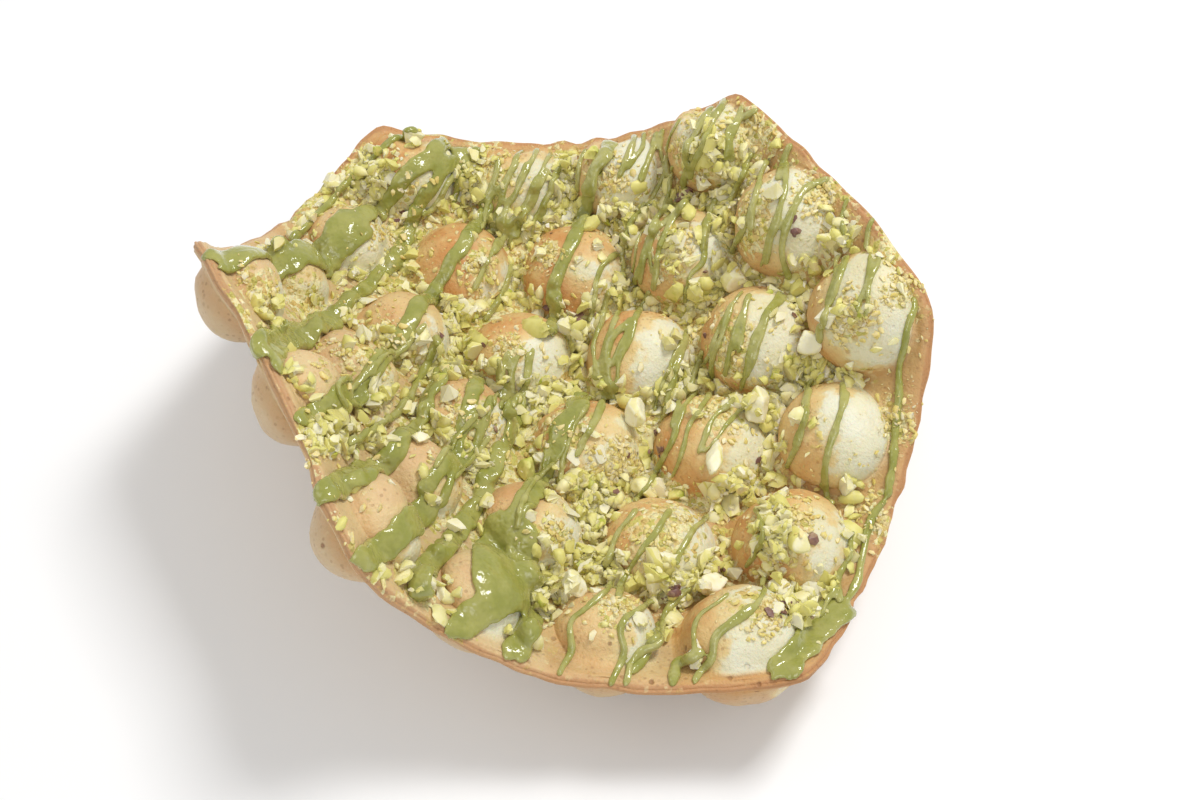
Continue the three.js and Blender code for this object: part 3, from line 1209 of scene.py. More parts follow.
STREAMS = strokes(
    (2.0, 73, 24, 71, 18, 70, 11, 70, 3, 69, -6, 68, -14, 66, -23),
    (2.2, 66, -23, 62, -28, 60, -34, 58, -40, 54, -45), (5.0, 53, -46, 46, -51, 38, -57),
    (2.4, 1, 65, -1, 60, -3, 53, -7, 41, -11, 31, -12, 18),
    (2.3, -30, 53, -33, 45, -36, 39, -39, 34, -42, 28),
    (2.2, -48, 72, -55, 70, -61, 64, -68, 57, -73, 49, -79, 40),
    (2.6, -42, 70, -45, 65, -52, 58, -58, 51),
    (2.3, -38, 69, -41, 63, -45, 57, -50, 49, -53, 39, -57, 32), (2.2, -33, 69, -37, 63, -40, 53),
    (3.1, -58, 51, -61, 48, -64, 45), (8.4, -64, 44, -67, 40, -69, 37),
    (3.2, -70, 37, -73, 33, -77, 33), (2.4, -51, 43, -54, 36, -59, 30, -63, 25, -65, 19),
    (4.6, -65, 19, -69, 14, -69, 9, -67, 6), (4.8, -77, 35, -80, 30, -84, 29),
    (3.0, -77, 33, -74, 34, -71, 36), (2.6, -42, 28, -46, 21, -49, 13, -54, 3, -60, -4),
    (3.0, -38, 7, -40, 0, -43, -8, -47, -14, -51, -16), (3.6, -51, -16, -53, -18, -54, -20),
    (2.3, -30, 4, -31, -4, -34, -13, -38, -20),
    (2.2, -26, 1, -27, -5, -30, -12, -33, -18, -35, -24), (4.6, -38, -24, -41, -28, -46, -31),
    (2.9, -20, -1, -22, -9, -25, -17, -30, -28), (3.2, -30, -28, -34, -32, -36, -36, -36, -39),
    (3.2, -4, 0, -8, -6, -11, -14, -16, -22, -22, -31), (11.6, -20, -31, -20, -36, -19, -39),
    (6.6, -20, -41, -23, -43), (4.6, -23, -43, -26, -44, -29, -47, -32, -50, -36, -53),
    (4.2, -15, -48, -17, -52, -19, -55), (2.2, 14, -49, 11, -52, 9, -55, 6, -58),
)
THREADS = strokes(
    (1.8, 39, 73, 35, 71, 32, 67, 33, 62), (1.8, 28, 74, 26, 70, 22, 63, 22, 57),
    (1.2, 17, 72, 16, 67, 17, 62), (1.2, 20, 71, 18, 67, 18, 61), (1.5, 12, 71, 11, 66, 8, 62),
    (1.2, 17, 60, 15, 56, 13, 51), (1.3, 19, 59, 18, 54, 17, 50),
    (1.1, 18, 49, 12, 45, 10, 40, 9, 35), (1.1, 19, 47, 14, 43, 12, 38, 11, 32),
    (1.1, 22, 51, 16, 45, 13, 39, 13, 34), (1.5, 28, 48, 27, 42, 26, 35, 23, 32, 22, 27),
    (1.7, 39, 52, 38, 49, 37, 45, 34, 39), (1.7, 54, 53, 50, 51, 46, 45, 44, 36, 46, 31),
    (1.1, 42, 43, 41, 40, 40, 35), (1.6, 47, 62, 46, 60, 44, 55), (1.4, 59, 47, 58, 44, 58, 41),
    (1.3, 64, 41, 63, 37), (1.8, 58, 32, 56, 28, 54, 23, 52, 18, 52, 15),
    (1.4, 64, 31, 62, 26, 61, 21), (1.2, 34, 25, 30, 19, 27, 11), (1.2, 36, 24, 35, 19, 34, 13),
    (1.3, 43, 25, 39, 19, 36, 12, 35, 4), (1.5, 50, 3, 48, -1, 47, -6, 45, -14),
    (1.5, 57, 0, 55, -5, 52, -15, 53, -22), (2.0, 7, 19, 3, 15, 2, 9, 3, 2),
    (1.5, 9, 20, 7, 14, 5, 9, 4, 4), (1.0, 4, 19, 1, 13, 0, 7),
    (1.2, 21, 16, 18, 10, 16, 5, 14, -1), (1.5, -23, 10, -24, 6, -24, 0),
    (1.4, -20, 11, -22, 6, -21, 0), (1.5, -17, 11, -18, 5, -19, -1),
    (1.4, 3, 37, 0, 34, -1, 28, -2, 22), (1.6, -27, 48, -28, 39, -32, 30),
    (1.8, -24, 34, -26, 28, -29, 22), (1.4, -22, 66, -25, 59, -30, 53, -31, 47),
    (1.4, -18, 66, -21, 58, -26, 50, -27, 43), (1.4, -14, 66, -17, 58, -21, 51, -24, 43),
    (1.4, -10, 64, -14, 55, -17, 50, -19, 42), (1.8, -4, 66, -5, 63, -6, 58),
    (1.9, -41, 14, -43, 9, -46, -1, -51, -8), (1.4, 1, 1, -1, -4, -5, -12),
    (1.5, 23, 1, 20, -3, 15, -15, 10, -22), (1.2, 33, -3, 29, -7, 26, -11),
    (1.6, 56, -36, 54, -39, 53, -43), (2.4, 2, 66, 0, 62, -2, 57), (1.9, 9, 69, 7, 63, 6, 60),
    (1.9, 15, 70, 13, 64, 11, 59), (1.8, 36, 73, 34, 68, 32, 63),
    (1.8, 32, 77, 29, 71, 26, 64, 24, 59), (1.8, 38, 61, 36, 57, 34, 52),
    (2.1, 18, 51, 14, 45, 12, 38, 10, 32), (1.8, 21, 49, 17, 43, 15, 37, 14, 30),
    (1.8, 29, 50, 27, 45, 26, 39), (1.6, 11, 51, 8, 46, 6, 40, 6, 34),
    (1.7, 46, 57, 44, 48, 42, 41, 41, 35), (1.7, 41, 58, 38, 49, 37, 43),
    (1.4, 57, 33, 55, 27, 53, 22, 52, 16), (1.4, 63, 32, 61, 25, 60, 22),
    (1.5, 32, 22, 30, 16, 28, 11, 28, 7), (1.5, 36, 24, 34, 19, 32, 13, 31, 8),
    (1.5, 44, 24, 40, 19, 38, 13, 36, 7), (1.4, 50, 3, 48, -2, 46, -9),
    (1.4, 57, 2, 55, -4, 53, -9, 52, -18), (1.8, 2, 26, 0, 19, -1, 14, -1, 7),
    (1.8, 4, 20, 2, 14, 1, 7, 2, 2), (1.5, 12, 26, 9, 20, 6, 15, 4, 10),
    (1.7, 21, 14, 19, 7, 17, 2, 16, -3), (1.7, 25, 10, 23, 5, 20, 0, 18, -5),
    (1.5, -25, 8, -25, 4, -25, 0), (1.5, -22, 9, -22, 4, -23, 0), (1.5, -18, 10, -18, 5, -20, 1),
    (1.4, -4, -3, -7, -8, -8, -12, -9, -17), (1.5, 1, 0, -1, -5, -4, -10),
    (1.4, 26, 0, 22, -5, 20, -11, 18, -17), (1.4, 31, -1, 26, -6, 24, -11),
    (1.4, -12, -16, -15, -19, -17, -23, -18, -27), (1.3, 57, -32, 55, -38, 52, -42, 49, -46),
    (1.9, -17, 58, -20, 52, -24, 47, -27, 40), (1.6, -27, 63, -28, 59, -31, 54),
    (1.6, -23, 62, -25, 58, -27, 52, -29, 47), (1.6, -20, 62, -22, 56, -25, 51, -26, 45),
    (1.6, -15, 60, -17, 55, -20, 50, -22, 45), (1.9, -12, 61, -14, 55, -16, 50),
    (1.9, -40, 60, -43, 55, -46, 51), (1.5, -44, 17, -48, 12, -51, 7),
    (1.5, -40, 14, -42, 10, -44, 5), (1.6, -52, 7, -55, 3, -54, 0),
    (1.4, -30, -5, -33, -9, -35, -13), (1.4, -27, -10, -29, -13, -31, -16),
    (1.5, 1, -42, -2, -44, -6, -47, -6, -53, -8, -57),
    (1.5, 10, -45, 6, -46, 4, -49, 5, -53, 3, -58),
    (1.7, 19, -43, 15, -47, 12, -52, 8, -54, 6, -58), (2.0, 20, -54, 17, -56, 16, -58),
    (1.7, 31, -45, 27, -48, 24, -50, 24, -54, 21, -58), (1.3, 26, -43, 21, -47, 20, -52),
    (1.3, 35, -42, 31, -46, 27, -48), (1.6, 36, -27, 36, -31, 34, -36),
    (1.6, 24, -28, 21, -30, 18, -35), (1.6, 15, -27, 10, -33, 8, -36, 5, -41),
    (1.6, 7, -27, 4, -31, 2, -36),
)


# ---- The nuts --------------------------------------------------------------------------------


class Where(Enum):
    """Where on the waffle a heap of chopped nut may lie."""

    GROOVES = "grooves"
    ANYWHERE = "anywhere"


FIELD_WIDTH = 30


@dataclass(frozen=True)
class Heap:
    """A place on the pouring plane where more of the nut fell, in millimetres."""

    u: float
    v: float
    wide: float
    tall: float
    share: float = 1.0
    where: Where = Where.GROOVES

    @property
    def is_field(self) -> bool:
        """Whether it is a wide even sprinkling instead of a heap."""
        return self.wide > FIELD_WIDTH

    def cover(self, u: Array, v: Array, spread: float) -> Array:
        """How thickly it covers points, from 0 to 1, with its size times the spread."""
        across = (u - self.u) / (self.wide * spread)
        return np.exp(-(across**2 + ((v - self.v) / (self.tall * spread)) ** 2))


ANY = Where.ANYWHERE


def heaps(*rows: tuple) -> tuple[Heap, ...]:
    """Heaps from rows of place, size, share and where they may lie."""
    return tuple(Heap(*row) for row in rows)


def sprinkle(*rows: Sizes) -> tuple[Heap, ...]:
    """Heaps that lie on the bubbles too."""
    return tuple(Heap(*row, where=ANY) for row in rows)


HEAPS = heaps(
    (-34, 62, 12, 7, 2.2), (-23, 49, 12, 6, 1.4), (-11, 59, 11, 9, 2.0),
    (-60, 60, 7, 7, 0.7, ANY), (-76, 53, 5, 8, 0.4, ANY), (-62, 41, 5, 6, 0.8),
    (-48, 70, 5, 4, 0.6), (-73, 18, 6, 4, 0.5, ANY), (-54, 14, 3, 3, 0.4), (-39, 21, 5, 5, 0.8),
    (-57, -8, 4, 5, 0.9, ANY), (-40, -10, 10, 3, 1.0), (-41, -19, 4, 4, 0.6), (-37, 6, 3, 2, 0.4),
    (-27, -16, 4, 3, 0.5), (-10, -2, 10, 3, 0.8), (-2, -24, 7, 5, 1.0), (-13, -26, 5, 4, 0.6),
    (-3, -39, 6, 6, 1.1), (18, -41, 9, 4.5, 1.3), (39, -29, 3.5, 6, 0.8, ANY),
    (41, -45, 4, 2.5, 0.6), (27, 64, 5, 5, 0.35, ANY), (31, 49, 5, 8, 0.9), (37, 54, 4, 6, 0.5),
    (54, 8, 9, 5, 1.1), (58, 40, 3, 3, 0.25), (59, 20, 3.5, 3.5, 0.25, ANY),
    (19, 38, 2.5, 6, 0.35, ANY), (6, 48, 6, 5.5, 0.9), (-5, 17, 5, 3, 0.4), (18, 1, 8, 4, 0.5),
    (44, -4, 5, 4, 0.5), (31, -20, 7, 4, 0.5), (-9, -13, 5, 4, 0.4), (5, -32, 4.5, 4.5, 0.4),
    (-80, 36, 5, 2.5, 0.25, ANY), (-36, -38, 3, 3, 0.3), (-14, -42, 3.5, 4.5, 0.6),
    (46, -45, 5.5, 2.2, 0.4), (18, 48, 5, 3, 0.4), (67, 35, 3.5, 5, 0.1), (31, -2, 7, 3, 0.5),
    (-2, -8, 62, 44, 7.5), (-36, 30, 38, 34, 4.0), (22, 26, 30, 32, 4.5),
)
SPRINKLES = sprinkle(
    (-31, 35, 3, 4, 0.5), (-14, 38, 3.5, 2.5, 0.3), (18, 38, 4, 6, 0.7), (3, 58, 3, 4, 0.4),
    (27, 63, 5, 8, 1.1), (37, 43, 3.5, 6, 0.7), (58, 19, 3, 4, 0.5), (32, 12, 4, 6, 0.7),
    (5, -15, 4, 4, 0.8), (-30, -5, 5, 5, 0.9), (-8, -8, 5, 5, 0.9), (28, -2, 5, 4, 0.8),
    (-12, -30, 3.5, 2.5, 0.3), (-30, 59, 5, 5, 0.8), (-60, 56, 10, 5, 0.8), (-72, 22, 5, 6, 0.7),
    (-52, 12, 6, 5, 0.8), (-56, -9, 4, 5, 0.6), (15, -30, 6, 6, 0.6), (40, -30, 4.5, 6, 1.0),
    (35, -44, 5, 3, 0.5), (4, -44, 4, 3, 0.5), (70, 25, 3, 2.5, 0.3), (54, 50, 6, 3.5, 0.5),
    (38, 69, 5, 5, 0.4), (69, -5, 2.3, 5, 0.4), (64, -28, 2.3, 5, 0.4), (-54, 45, 5, 4, 0.6),
    (-22, 12, 3, 3, 0.3), (-30, 20, 60, 50, 1.6), (35, 10, 45, 55, 1.2),
)


@dataclass(frozen=True)
class Shard:
    """A kind of chopped nut: how many there are, their sizes and how they lie."""

    name: str
    count: int
    smallest: float
    largest: float
    roundness: int
    cuts: int
    flatness: float
    on_domes: float
    sink: float
    seed: int
    shapes: int = 5
    patchy: float = 0.0
    strewn: float = 0.6
    skew: float = 1.5
    heaps: tuple[Heap, ...] = HEAPS


SKIN_HEAPS = sprinkle(
    (17, -43, 2.5, 2.0, 0.8), (25, -40, 3.0, 2.0, 1.0), (40, -45, 3.5, 1.5, 0.9),
    (46, -31, 2.0, 2.0, 0.5), (22, 53, 4.0, 4.0, 1.0), (45, 41, 3.0, 3.0, 0.5),
    (12, -12, 4.0, 3.0, 0.6), (-2, 20, 4.0, 2.0, 0.4), (-52, 48, 4.0, 3.0, 0.4),
    (-40, 15, 3.0, 2.0, 0.4), (0, 10, 55, 50, 1.4),
)
# Each kind: name, count, smallest, largest, roundness, cuts, flatness, on_domes, sink, seed.
PICKED = Shard("nut_picked", 0, 3.0 * MM, 8.0 * MM, 3, 4, 0.8, 0.0, 0.2, 16, shapes=12)
PIECES = Shard("nut_pieces", 920, 3.2 * MM, 7.6 * MM, 2, 4, 0.76, 0.02, 0.28, 11, shapes=9)
BITS = Shard("nut_bits", 1350, 1.6 * MM, 4.6 * MM, 2, 3, 0.7, 0.04, 0.28, 12, patchy=0.4)
TOPMOST = Shard("nut_scatter", 620, 1.3 * MM, 5.0 * MM, 2, 3, 0.7, 0.04, 0.24, 15, skew=2.0)
CRUMBS = Shard(
    "golden_crumbs", 5700, 0.5 * MM, 2.5 * MM, 1, 2, 0.5, 0.14, 0.25, 13,
    shapes=8, patchy=0.7, strewn=1.0, skew=2.4, heaps=SPRINKLES,
)
SKINS = Shard("nut_skins", 60, 1.2 * MM, 3.6 * MM, 1, 2, 0.3, 0.0, 0.1, 14, heaps=SKIN_HEAPS)


@dataclass(frozen=True)
class Pick:
    """One nut piece that lies in its own place: where, how long and wide, and its tone."""

    u: float
    v: float
    long: float
    wide: float
    tone: float


def picks(*rows: Sizes) -> tuple[Pick, ...]:
    """Picked pieces from rows of place, length, width and tone."""
    return tuple(Pick(*row) for row in rows)


PICKS = picks(
    (55.8, 42.8, 5, 3.8, 0.1), (56.9, 38.2, 7, 5.5, 0.75), (42.6, 49, 6.5, 4.5, 0.35),
    (30.6, 44, 8, 4, 0.3), (26.6, 56.1, 5.5, 4, 0), (47.9, 6.7, 7.5, 5.5, 0.5),
    (61, 6.3, 4.5, 3.5, 0.8), (58.6, 8.4, 4, 3.5, 0.3), (10, 27.8, 7, 4, 0.9),
    (5.4, 38.4, 3.6, 3.2, 0.5), (25.5, 28.4, 8, 7, 0.85), (-35.4, -0.1, 6.5, 5.5, 0.1),
    (-23, -2.7, 4.5, 4, 0.05), (-29.1, -17.6, 8, 4.5, 0.05), (-34.9, 24.2, 8, 3.5, 0.3),
    (-40.3, 25.4, 6.5, 3, 0.25), (18, -3, 5, 4, 0.15), (23.6, -4.1, 6, 4.5, 0.4),
    (30, -1.8, 5, 3.5, 0.2), (-6.1, -13.6, 4, 3.5, 0), (0.1, -12.4, 4.5, 3.5, 0),
    (10.5, -13.7, 5.5, 4, 0.9), (13.5, -21, 6.5, 5, 0.05), (-7.1, -18.8, 7.5, 6, 0.75),
    (-2.1, -25.4, 6, 5, 0.4), (-36.6, 13.6, 5.5, 4.5, 0.3), (-16.5, 17.2, 9.5, 6.5, 0.95),
    (-14.8, 38, 6.5, 4, 0.1), (-1.2, 40.1, 5.5, 4, 0.1), (-5.9, 35.9, 3.4, 3, 0.05),
    (-48.9, 68.9, 7.5, 6, 0.2), (-71.5, 58.1, 6, 5, 0.2), (-65.6, 57.3, 5.5, 4, 0.3),
    (-34, 57.1, 11, 6, 0.25), (-48.2, 51.3, 9, 4.5, 0.3), (-68.4, 18.8, 7, 5, 0.05),
    (-73.6, 18.3, 6, 5, 0.3), (-75.4, 20, 5.5, 4.5, 0.25), (-54.8, 13.8, 5.5, 4.5, 0.15),
    (-44, 15.7, 10, 5.5, 0.1), (-38.8, 8.1, 10, 4.5, 0.5), (-52.5, 0.4, 8, 6.5, 0.2),
    (-47.6, 8, 6, 4.5, 0.15), (-36.4, 20.4, 6, 4.5, 0.1), (-15.8, -26, 6, 5, 0.1),
    (-1.5, -40.3, 8.5, 6, 0.8), (21.1, -54.1, 8, 4, 0.05), (22.6, -36.3, 9.5, 5, 0.3),
    (16, -49.1, 6, 5, 0.3), (-2.7, -31.4, 5, 4.5, 0.15), (5.3, -39.3, 7.5, 6, 0.4),
    (-7, -25.5, 5, 4, 0.3), (47.4, -43, 6, 4.5, 0.1), (14.4, 42.8, 5.5, 4.5, 0.2),
    (22.3, 34.7, 5, 4, 0.3), (-30.4, 35.8, 4.5, 3.5, 0.3), (-11.4, 25.9, 5.5, 4, 0.4),
    (-3.5, -7.2, 5.5, 4.5, 0.3), (2.9, -23.2, 5.5, 4.5, 0.5), (33.4, -16.6, 5.5, 4, 0.4),
    (42.3, -19.1, 6, 4.5, 0.4), (41.4, -4.9, 7, 6, 0.7), (30.5, -19, 5, 4, 0.3),
    (8.6, -47.3, 5, 4, 0.3), (15.1, -36, 6, 4.5, 0.3), (-20.3, -10, 5, 4.5, 0.3),
    (-11.7, -22.7, 5.5, 4.5, 0.5), (-12.2, -31.3, 5, 4, 0.2), (-45.1, -3.6, 5.5, 4, 0.4),
    (-54.3, -6.7, 6, 4.5, 0.2), (-55.9, -9.8, 6.5, 5, 0.15), (-57.9, -7.1, 6, 4.5, 0.25),
    (-44.2, -8.9, 6, 4.5, 0.3), (-39.8, -9, 5, 4, 0.1), (-29.5, -24, 5, 4, 0.2),
    (25.4, 41.7, 6, 4.5, 0.4), (34.6, 49.8, 6, 4, 0.3), (35.6, 43.6, 5, 4, 0.2),
)


def paleness(tone: float) -> float:
    """How pale the cut faces of a piece are, which the deepest green ones hardly show."""
    return 0.35 if tone > 0.8 else 1.0


@dataclass(frozen=True)
class Chopping:
    """Chops shards, scatters them over the waffle and joins each kind into one piece."""

    pour: Pour
    crust: Crust
    kept_clear: BVHTree
    clear_chance: float = 0.85
    cut_depth: tuple[float, float] = (0.08, 0.26)
    weld: float = 0.06
    knobbly: float = 0.04
    is_flat: float = 0.97
    groove: tuple[float, float] = (0.72, 1.0)
    anywhere_chance: float = 0.75
    clearance: float = 1.0 * MM
    rim_gap: float = 0.42
    steepest: float = 0.15
    drift: Swell = Swell(1.0, 9 * MM)
    patch_edge: tuple[float, float] = (-0.4, 0.5)
    tilt: float = 0.35
    thinness: tuple[float, float] = (0.65, 1.2)
    narrowness: tuple[float, float] = (0.45, 0.95)
    picked_thinness: tuple[float, float] = (0.7, 1.0)
    heap_spread: float = 1.2
    field_spread: float = 0.75
    sprinkle_spread: float = 1.4
    small_share: float = 0.35
    small_dust: float = 0.7
    sprinkle_dust: float = 0.8
    field_dust: float = 0.1
    dusty_groove: tuple[float, float] = (0.82, 1.06)
    dusty_slope: tuple[float, float] = (0.05, 0.4)
    tries: int = 8
    pick_gap: float = 1.5 * MM
    pick_size: float = 1.05 * MM
    crisp: float = 48

    def chop(self, shard: Shard, number: int) -> tuple[Array, Array, Array]:
        """Models one shard: a small ball cut by a few flat strokes of the knife.

        Args:
            shard: The kind.
            number: Which of its shapes this is.

        Returns:
            Its vertices, about one across, its triangles, and which of them are cut faces.
        """
        rng = np.random.default_rng(shard.seed * 100 + number)
        bpy.ops.mesh.primitive_ico_sphere_add(subdivisions=shard.roundness, radius=0.5)
        piece = bpy.context.active_object
        edit(piece)
        cuts = []
        for _ in range(shard.cuts):
            way = random_way(rng)
            cuts.append(way)
            bpy.ops.mesh.select_all(action="SELECT")
            bpy.ops.mesh.bisect(
                plane_co=tuple(way * rng.uniform(*self.cut_depth)),
                plane_no=tuple(way),
                use_fill=True,
                clear_outer=True,
            )
        bpy.ops.mesh.select_all(action="SELECT")
        bpy.ops.mesh.remove_doubles(threshold=self.weld)
        bpy.ops.mesh.quads_convert_to_tris()
        bpy.ops.mesh.normals_make_consistent(inside=False)
        close()
        spots = points_of(piece)
        triangles = triangles_of(piece)
        a, b, c = (spots[triangles[:, k]] for k in range(3))
        facing = unit(np.cross(b - a, c - a))
        is_cut = (facing @ np.array(cuts).T).max(axis=1) > self.is_flat
        spots += self.knobbly * rng.normal(size=spots.shape)
        spots -= spots.mean(axis=0)
        spots /= np.ptp(spots, axis=0).max()
        bpy.data.objects.remove(piece)
        return spots, triangles, is_cut.astype(float)

    def landing(self, tree: BVHTree, shard: Shard, rng: np.random.Generator) -> tuple | None:
        """Picks one place for a shard to land.

        Args:
            tree: What it falls on.
            shard: Its kind.
            rng: The random numbers.

        Returns:
            The place and the surface's normal, or None where this one rolls off.
        """
        shares = np.array([heap.share for heap in shard.heaps])
        heap = shard.heaps[rng.choice(len(shares), p=shares / shares.sum())]
        if heap.is_field:
            off = rng.uniform(-1, 1, 2) * (heap.wide, heap.tall)
        else:
            off = rng.normal(size=2) * (heap.wide * shard.strewn, heap.tall * shard.strewn)
        hit = self.pour.drop(tree, (heap.u + off[0]) * MM, (heap.v + off[1]) * MM)
        if hit is None:
            return None
        place, normal = hit
        spot = np.array([place])
        if self.crust.room(spot)[0] < self.rim_gap * shard.largest:
            return None
        in_groove = float(ease(self.crust.over_bubbles(spot)[0], *self.groove))
        chance = shard.on_domes + (1 - shard.on_domes) * in_groove
        if heap.where is Where.ANYWHERE:
            chance = max(chance, self.anywhere_chance)
        if self.kept_clear.find_nearest(place)[3] < self.clearance:
            chance *= 1 - self.clear_chance
        drift = float(self.drift.over(spot, shard.seed)[0])
        chance *= 1 - shard.patchy * (1 - float(ease(drift, *self.patch_edge)))
        if normal.z < self.steepest or rng.random() > chance:
            return None
        return place, normal

    def dust(self, plate: Object) -> None:
        """Notes how much fine meal fell on each vertex of the crust.

        Args:
            plate: The crust.
        """
        spots = points_of(plate)
        normals = np.empty(len(spots) * 3)
        plate.data.vertices.foreach_get("normal", normals)
        facing = -(normals.reshape(-1, 3) @ np.array(self.pour.fall))
        off = spots - np.array(self.pour.aim)
        u = off @ np.array(self.pour.right) / MM
        v = off @ np.array(self.pour.up) / MM
        amount = np.zeros(len(spots))
        for heap in HEAPS:
            thickest = 1.0 if heap.share > self.small_share else self.small_dust
            cover = heap.cover(u, v, self.field_spread if heap.is_field else self.heap_spread)
            amount = np.maximum(amount, cover * thickest)
        sprinkled = np.zeros(len(spots))
        for heap in SPRINKLES:
            thickest = self.field_dust if heap.is_field else self.sprinkle_dust
            cover = heap.cover(u, v, self.sprinkle_spread)
            sprinkled = np.maximum(sprinkled, cover * thickest)
        grooves = ease(self.crust.over_bubbles(spots), *self.dusty_groove)
        amount = np.maximum(amount * grooves, sprinkled)
        note(plate, "meal", amount * ease(facing, *self.dusty_slope))

    def scatter(self, shard: Shard, tree: BVHTree) -> Object:
        """Scatters one kind of shard.

        Args:
            shard: The kind.
            tree: What they fall on.

        Returns:
            All of them joined, with a note of each one's tone.
        """
        shapes = [self.chop(shard, number) for number in range(shard.shapes)]
        rng = np.random.default_rng(shard.seed)
        laid = []
        for _ in range(shard.count * self.tries):
            if len(laid) == shard.count:
                break
            spot = self.landing(tree, shard, rng)
            if spot is None:
                continue
            size = shard.smallest + (shard.largest - shard.smallest) * rng.random() ** shard.skew
            flat = shard.flatness * rng.uniform(*self.thinness)
            stretch = size * np.array((1.0, rng.uniform(*self.narrowness), flat))
            shape = shapes[rng.integers(len(shapes))]
            body = self.lay(shape[0] * stretch, spot, shard.sink * size * flat, rng)
            laid.append((body, shape[1], shape[2], rng.random()))
        return self.joined(shard.name, laid)

    def set_down(self, shard: Shard, tree: BVHTree) -> Object:
        """Lays the picked pieces in their own places.

        Args:
            shard: Their kind.
            tree: What they lie on.

        Returns:
            All of them joined.
        """
        shapes = [self.chop(shard, number) for number in range(shard.shapes)]
        rng = np.random.default_rng(shard.seed)
        laid = []
        for pick in PICKS:
            spot = self.pour.drop(tree, pick.u * MM, pick.v * MM)
            if spot is None or self.crust.room(np.array([spot[0]]))[0] < self.pick_gap:
                continue
            flat = shard.flatness * rng.uniform(*self.picked_thinness) * pick.wide
            stretch = np.array((pick.long, pick.wide, flat)) * self.pick_size
            shape = shapes[rng.integers(len(shapes))]
            body = self.lay(shape[0] * stretch, spot, shard.sink * flat * MM, rng)
            laid.append((body, shape[1], shape[2], pick.tone))
        return self.joined(shard.name, laid)

    def lay(self, body: Array, spot: tuple, sink: float, rng: np.random.Generator) -> Array:
        """Turns a piece at random and lays it on a surface, a little sunk in.

        Args:
            body: Its vertices round the origin.
            spot: The place and the normal of the surface.
            sink: How far it sinks in.
            rng: The random numbers.

        Returns:
            Its vertices where it lies.
        """
        place, normal = spot
        turn = Vector((0, 0, 1)).rotation_difference(normal).to_matrix()
        turn = turn @ Matrix.Rotation(rng.normal() * self.tilt, 3, "X")
        turn = turn @ Matrix.Rotation(rng.uniform(0, math.tau), 3, "Z")
        rise = np.ptp(body[:, 2]) * 0.5 - sink
        return body @ np.array(turn).T + np.array(place) + np.array(normal) * rise

    def joined(self, name: str, laid: list[tuple]) -> Object:
        """Joins laid pieces, with notes of each one's tone and of its cut faces.

        Args:
            name: The joined piece's name.
            laid: Each piece's vertices, triangles, cut faces and tone.

        Returns:
            The joined piece.
        """
        starts = np.cumsum([0] + [len(body) for body, *_ in laid[:-1]])
        places = np.concatenate([body for body, *_ in laid])
        paired = zip(laid, starts, strict=True)
        faces = np.concatenate([triangles + start for (_, triangles, *_), start in paired])
        tones = np.concatenate([np.full(len(body), tone) for body, _, _, tone in laid])
        cuts = np.concatenate([cut * paleness(tone) for _, _, cut, tone in laid])
        made = new_piece(name, places, faces)
        note(made, "tone", tones)
        note(made, "cut", cuts, "FACE")
        smooth(made, self.crisp)
        return made


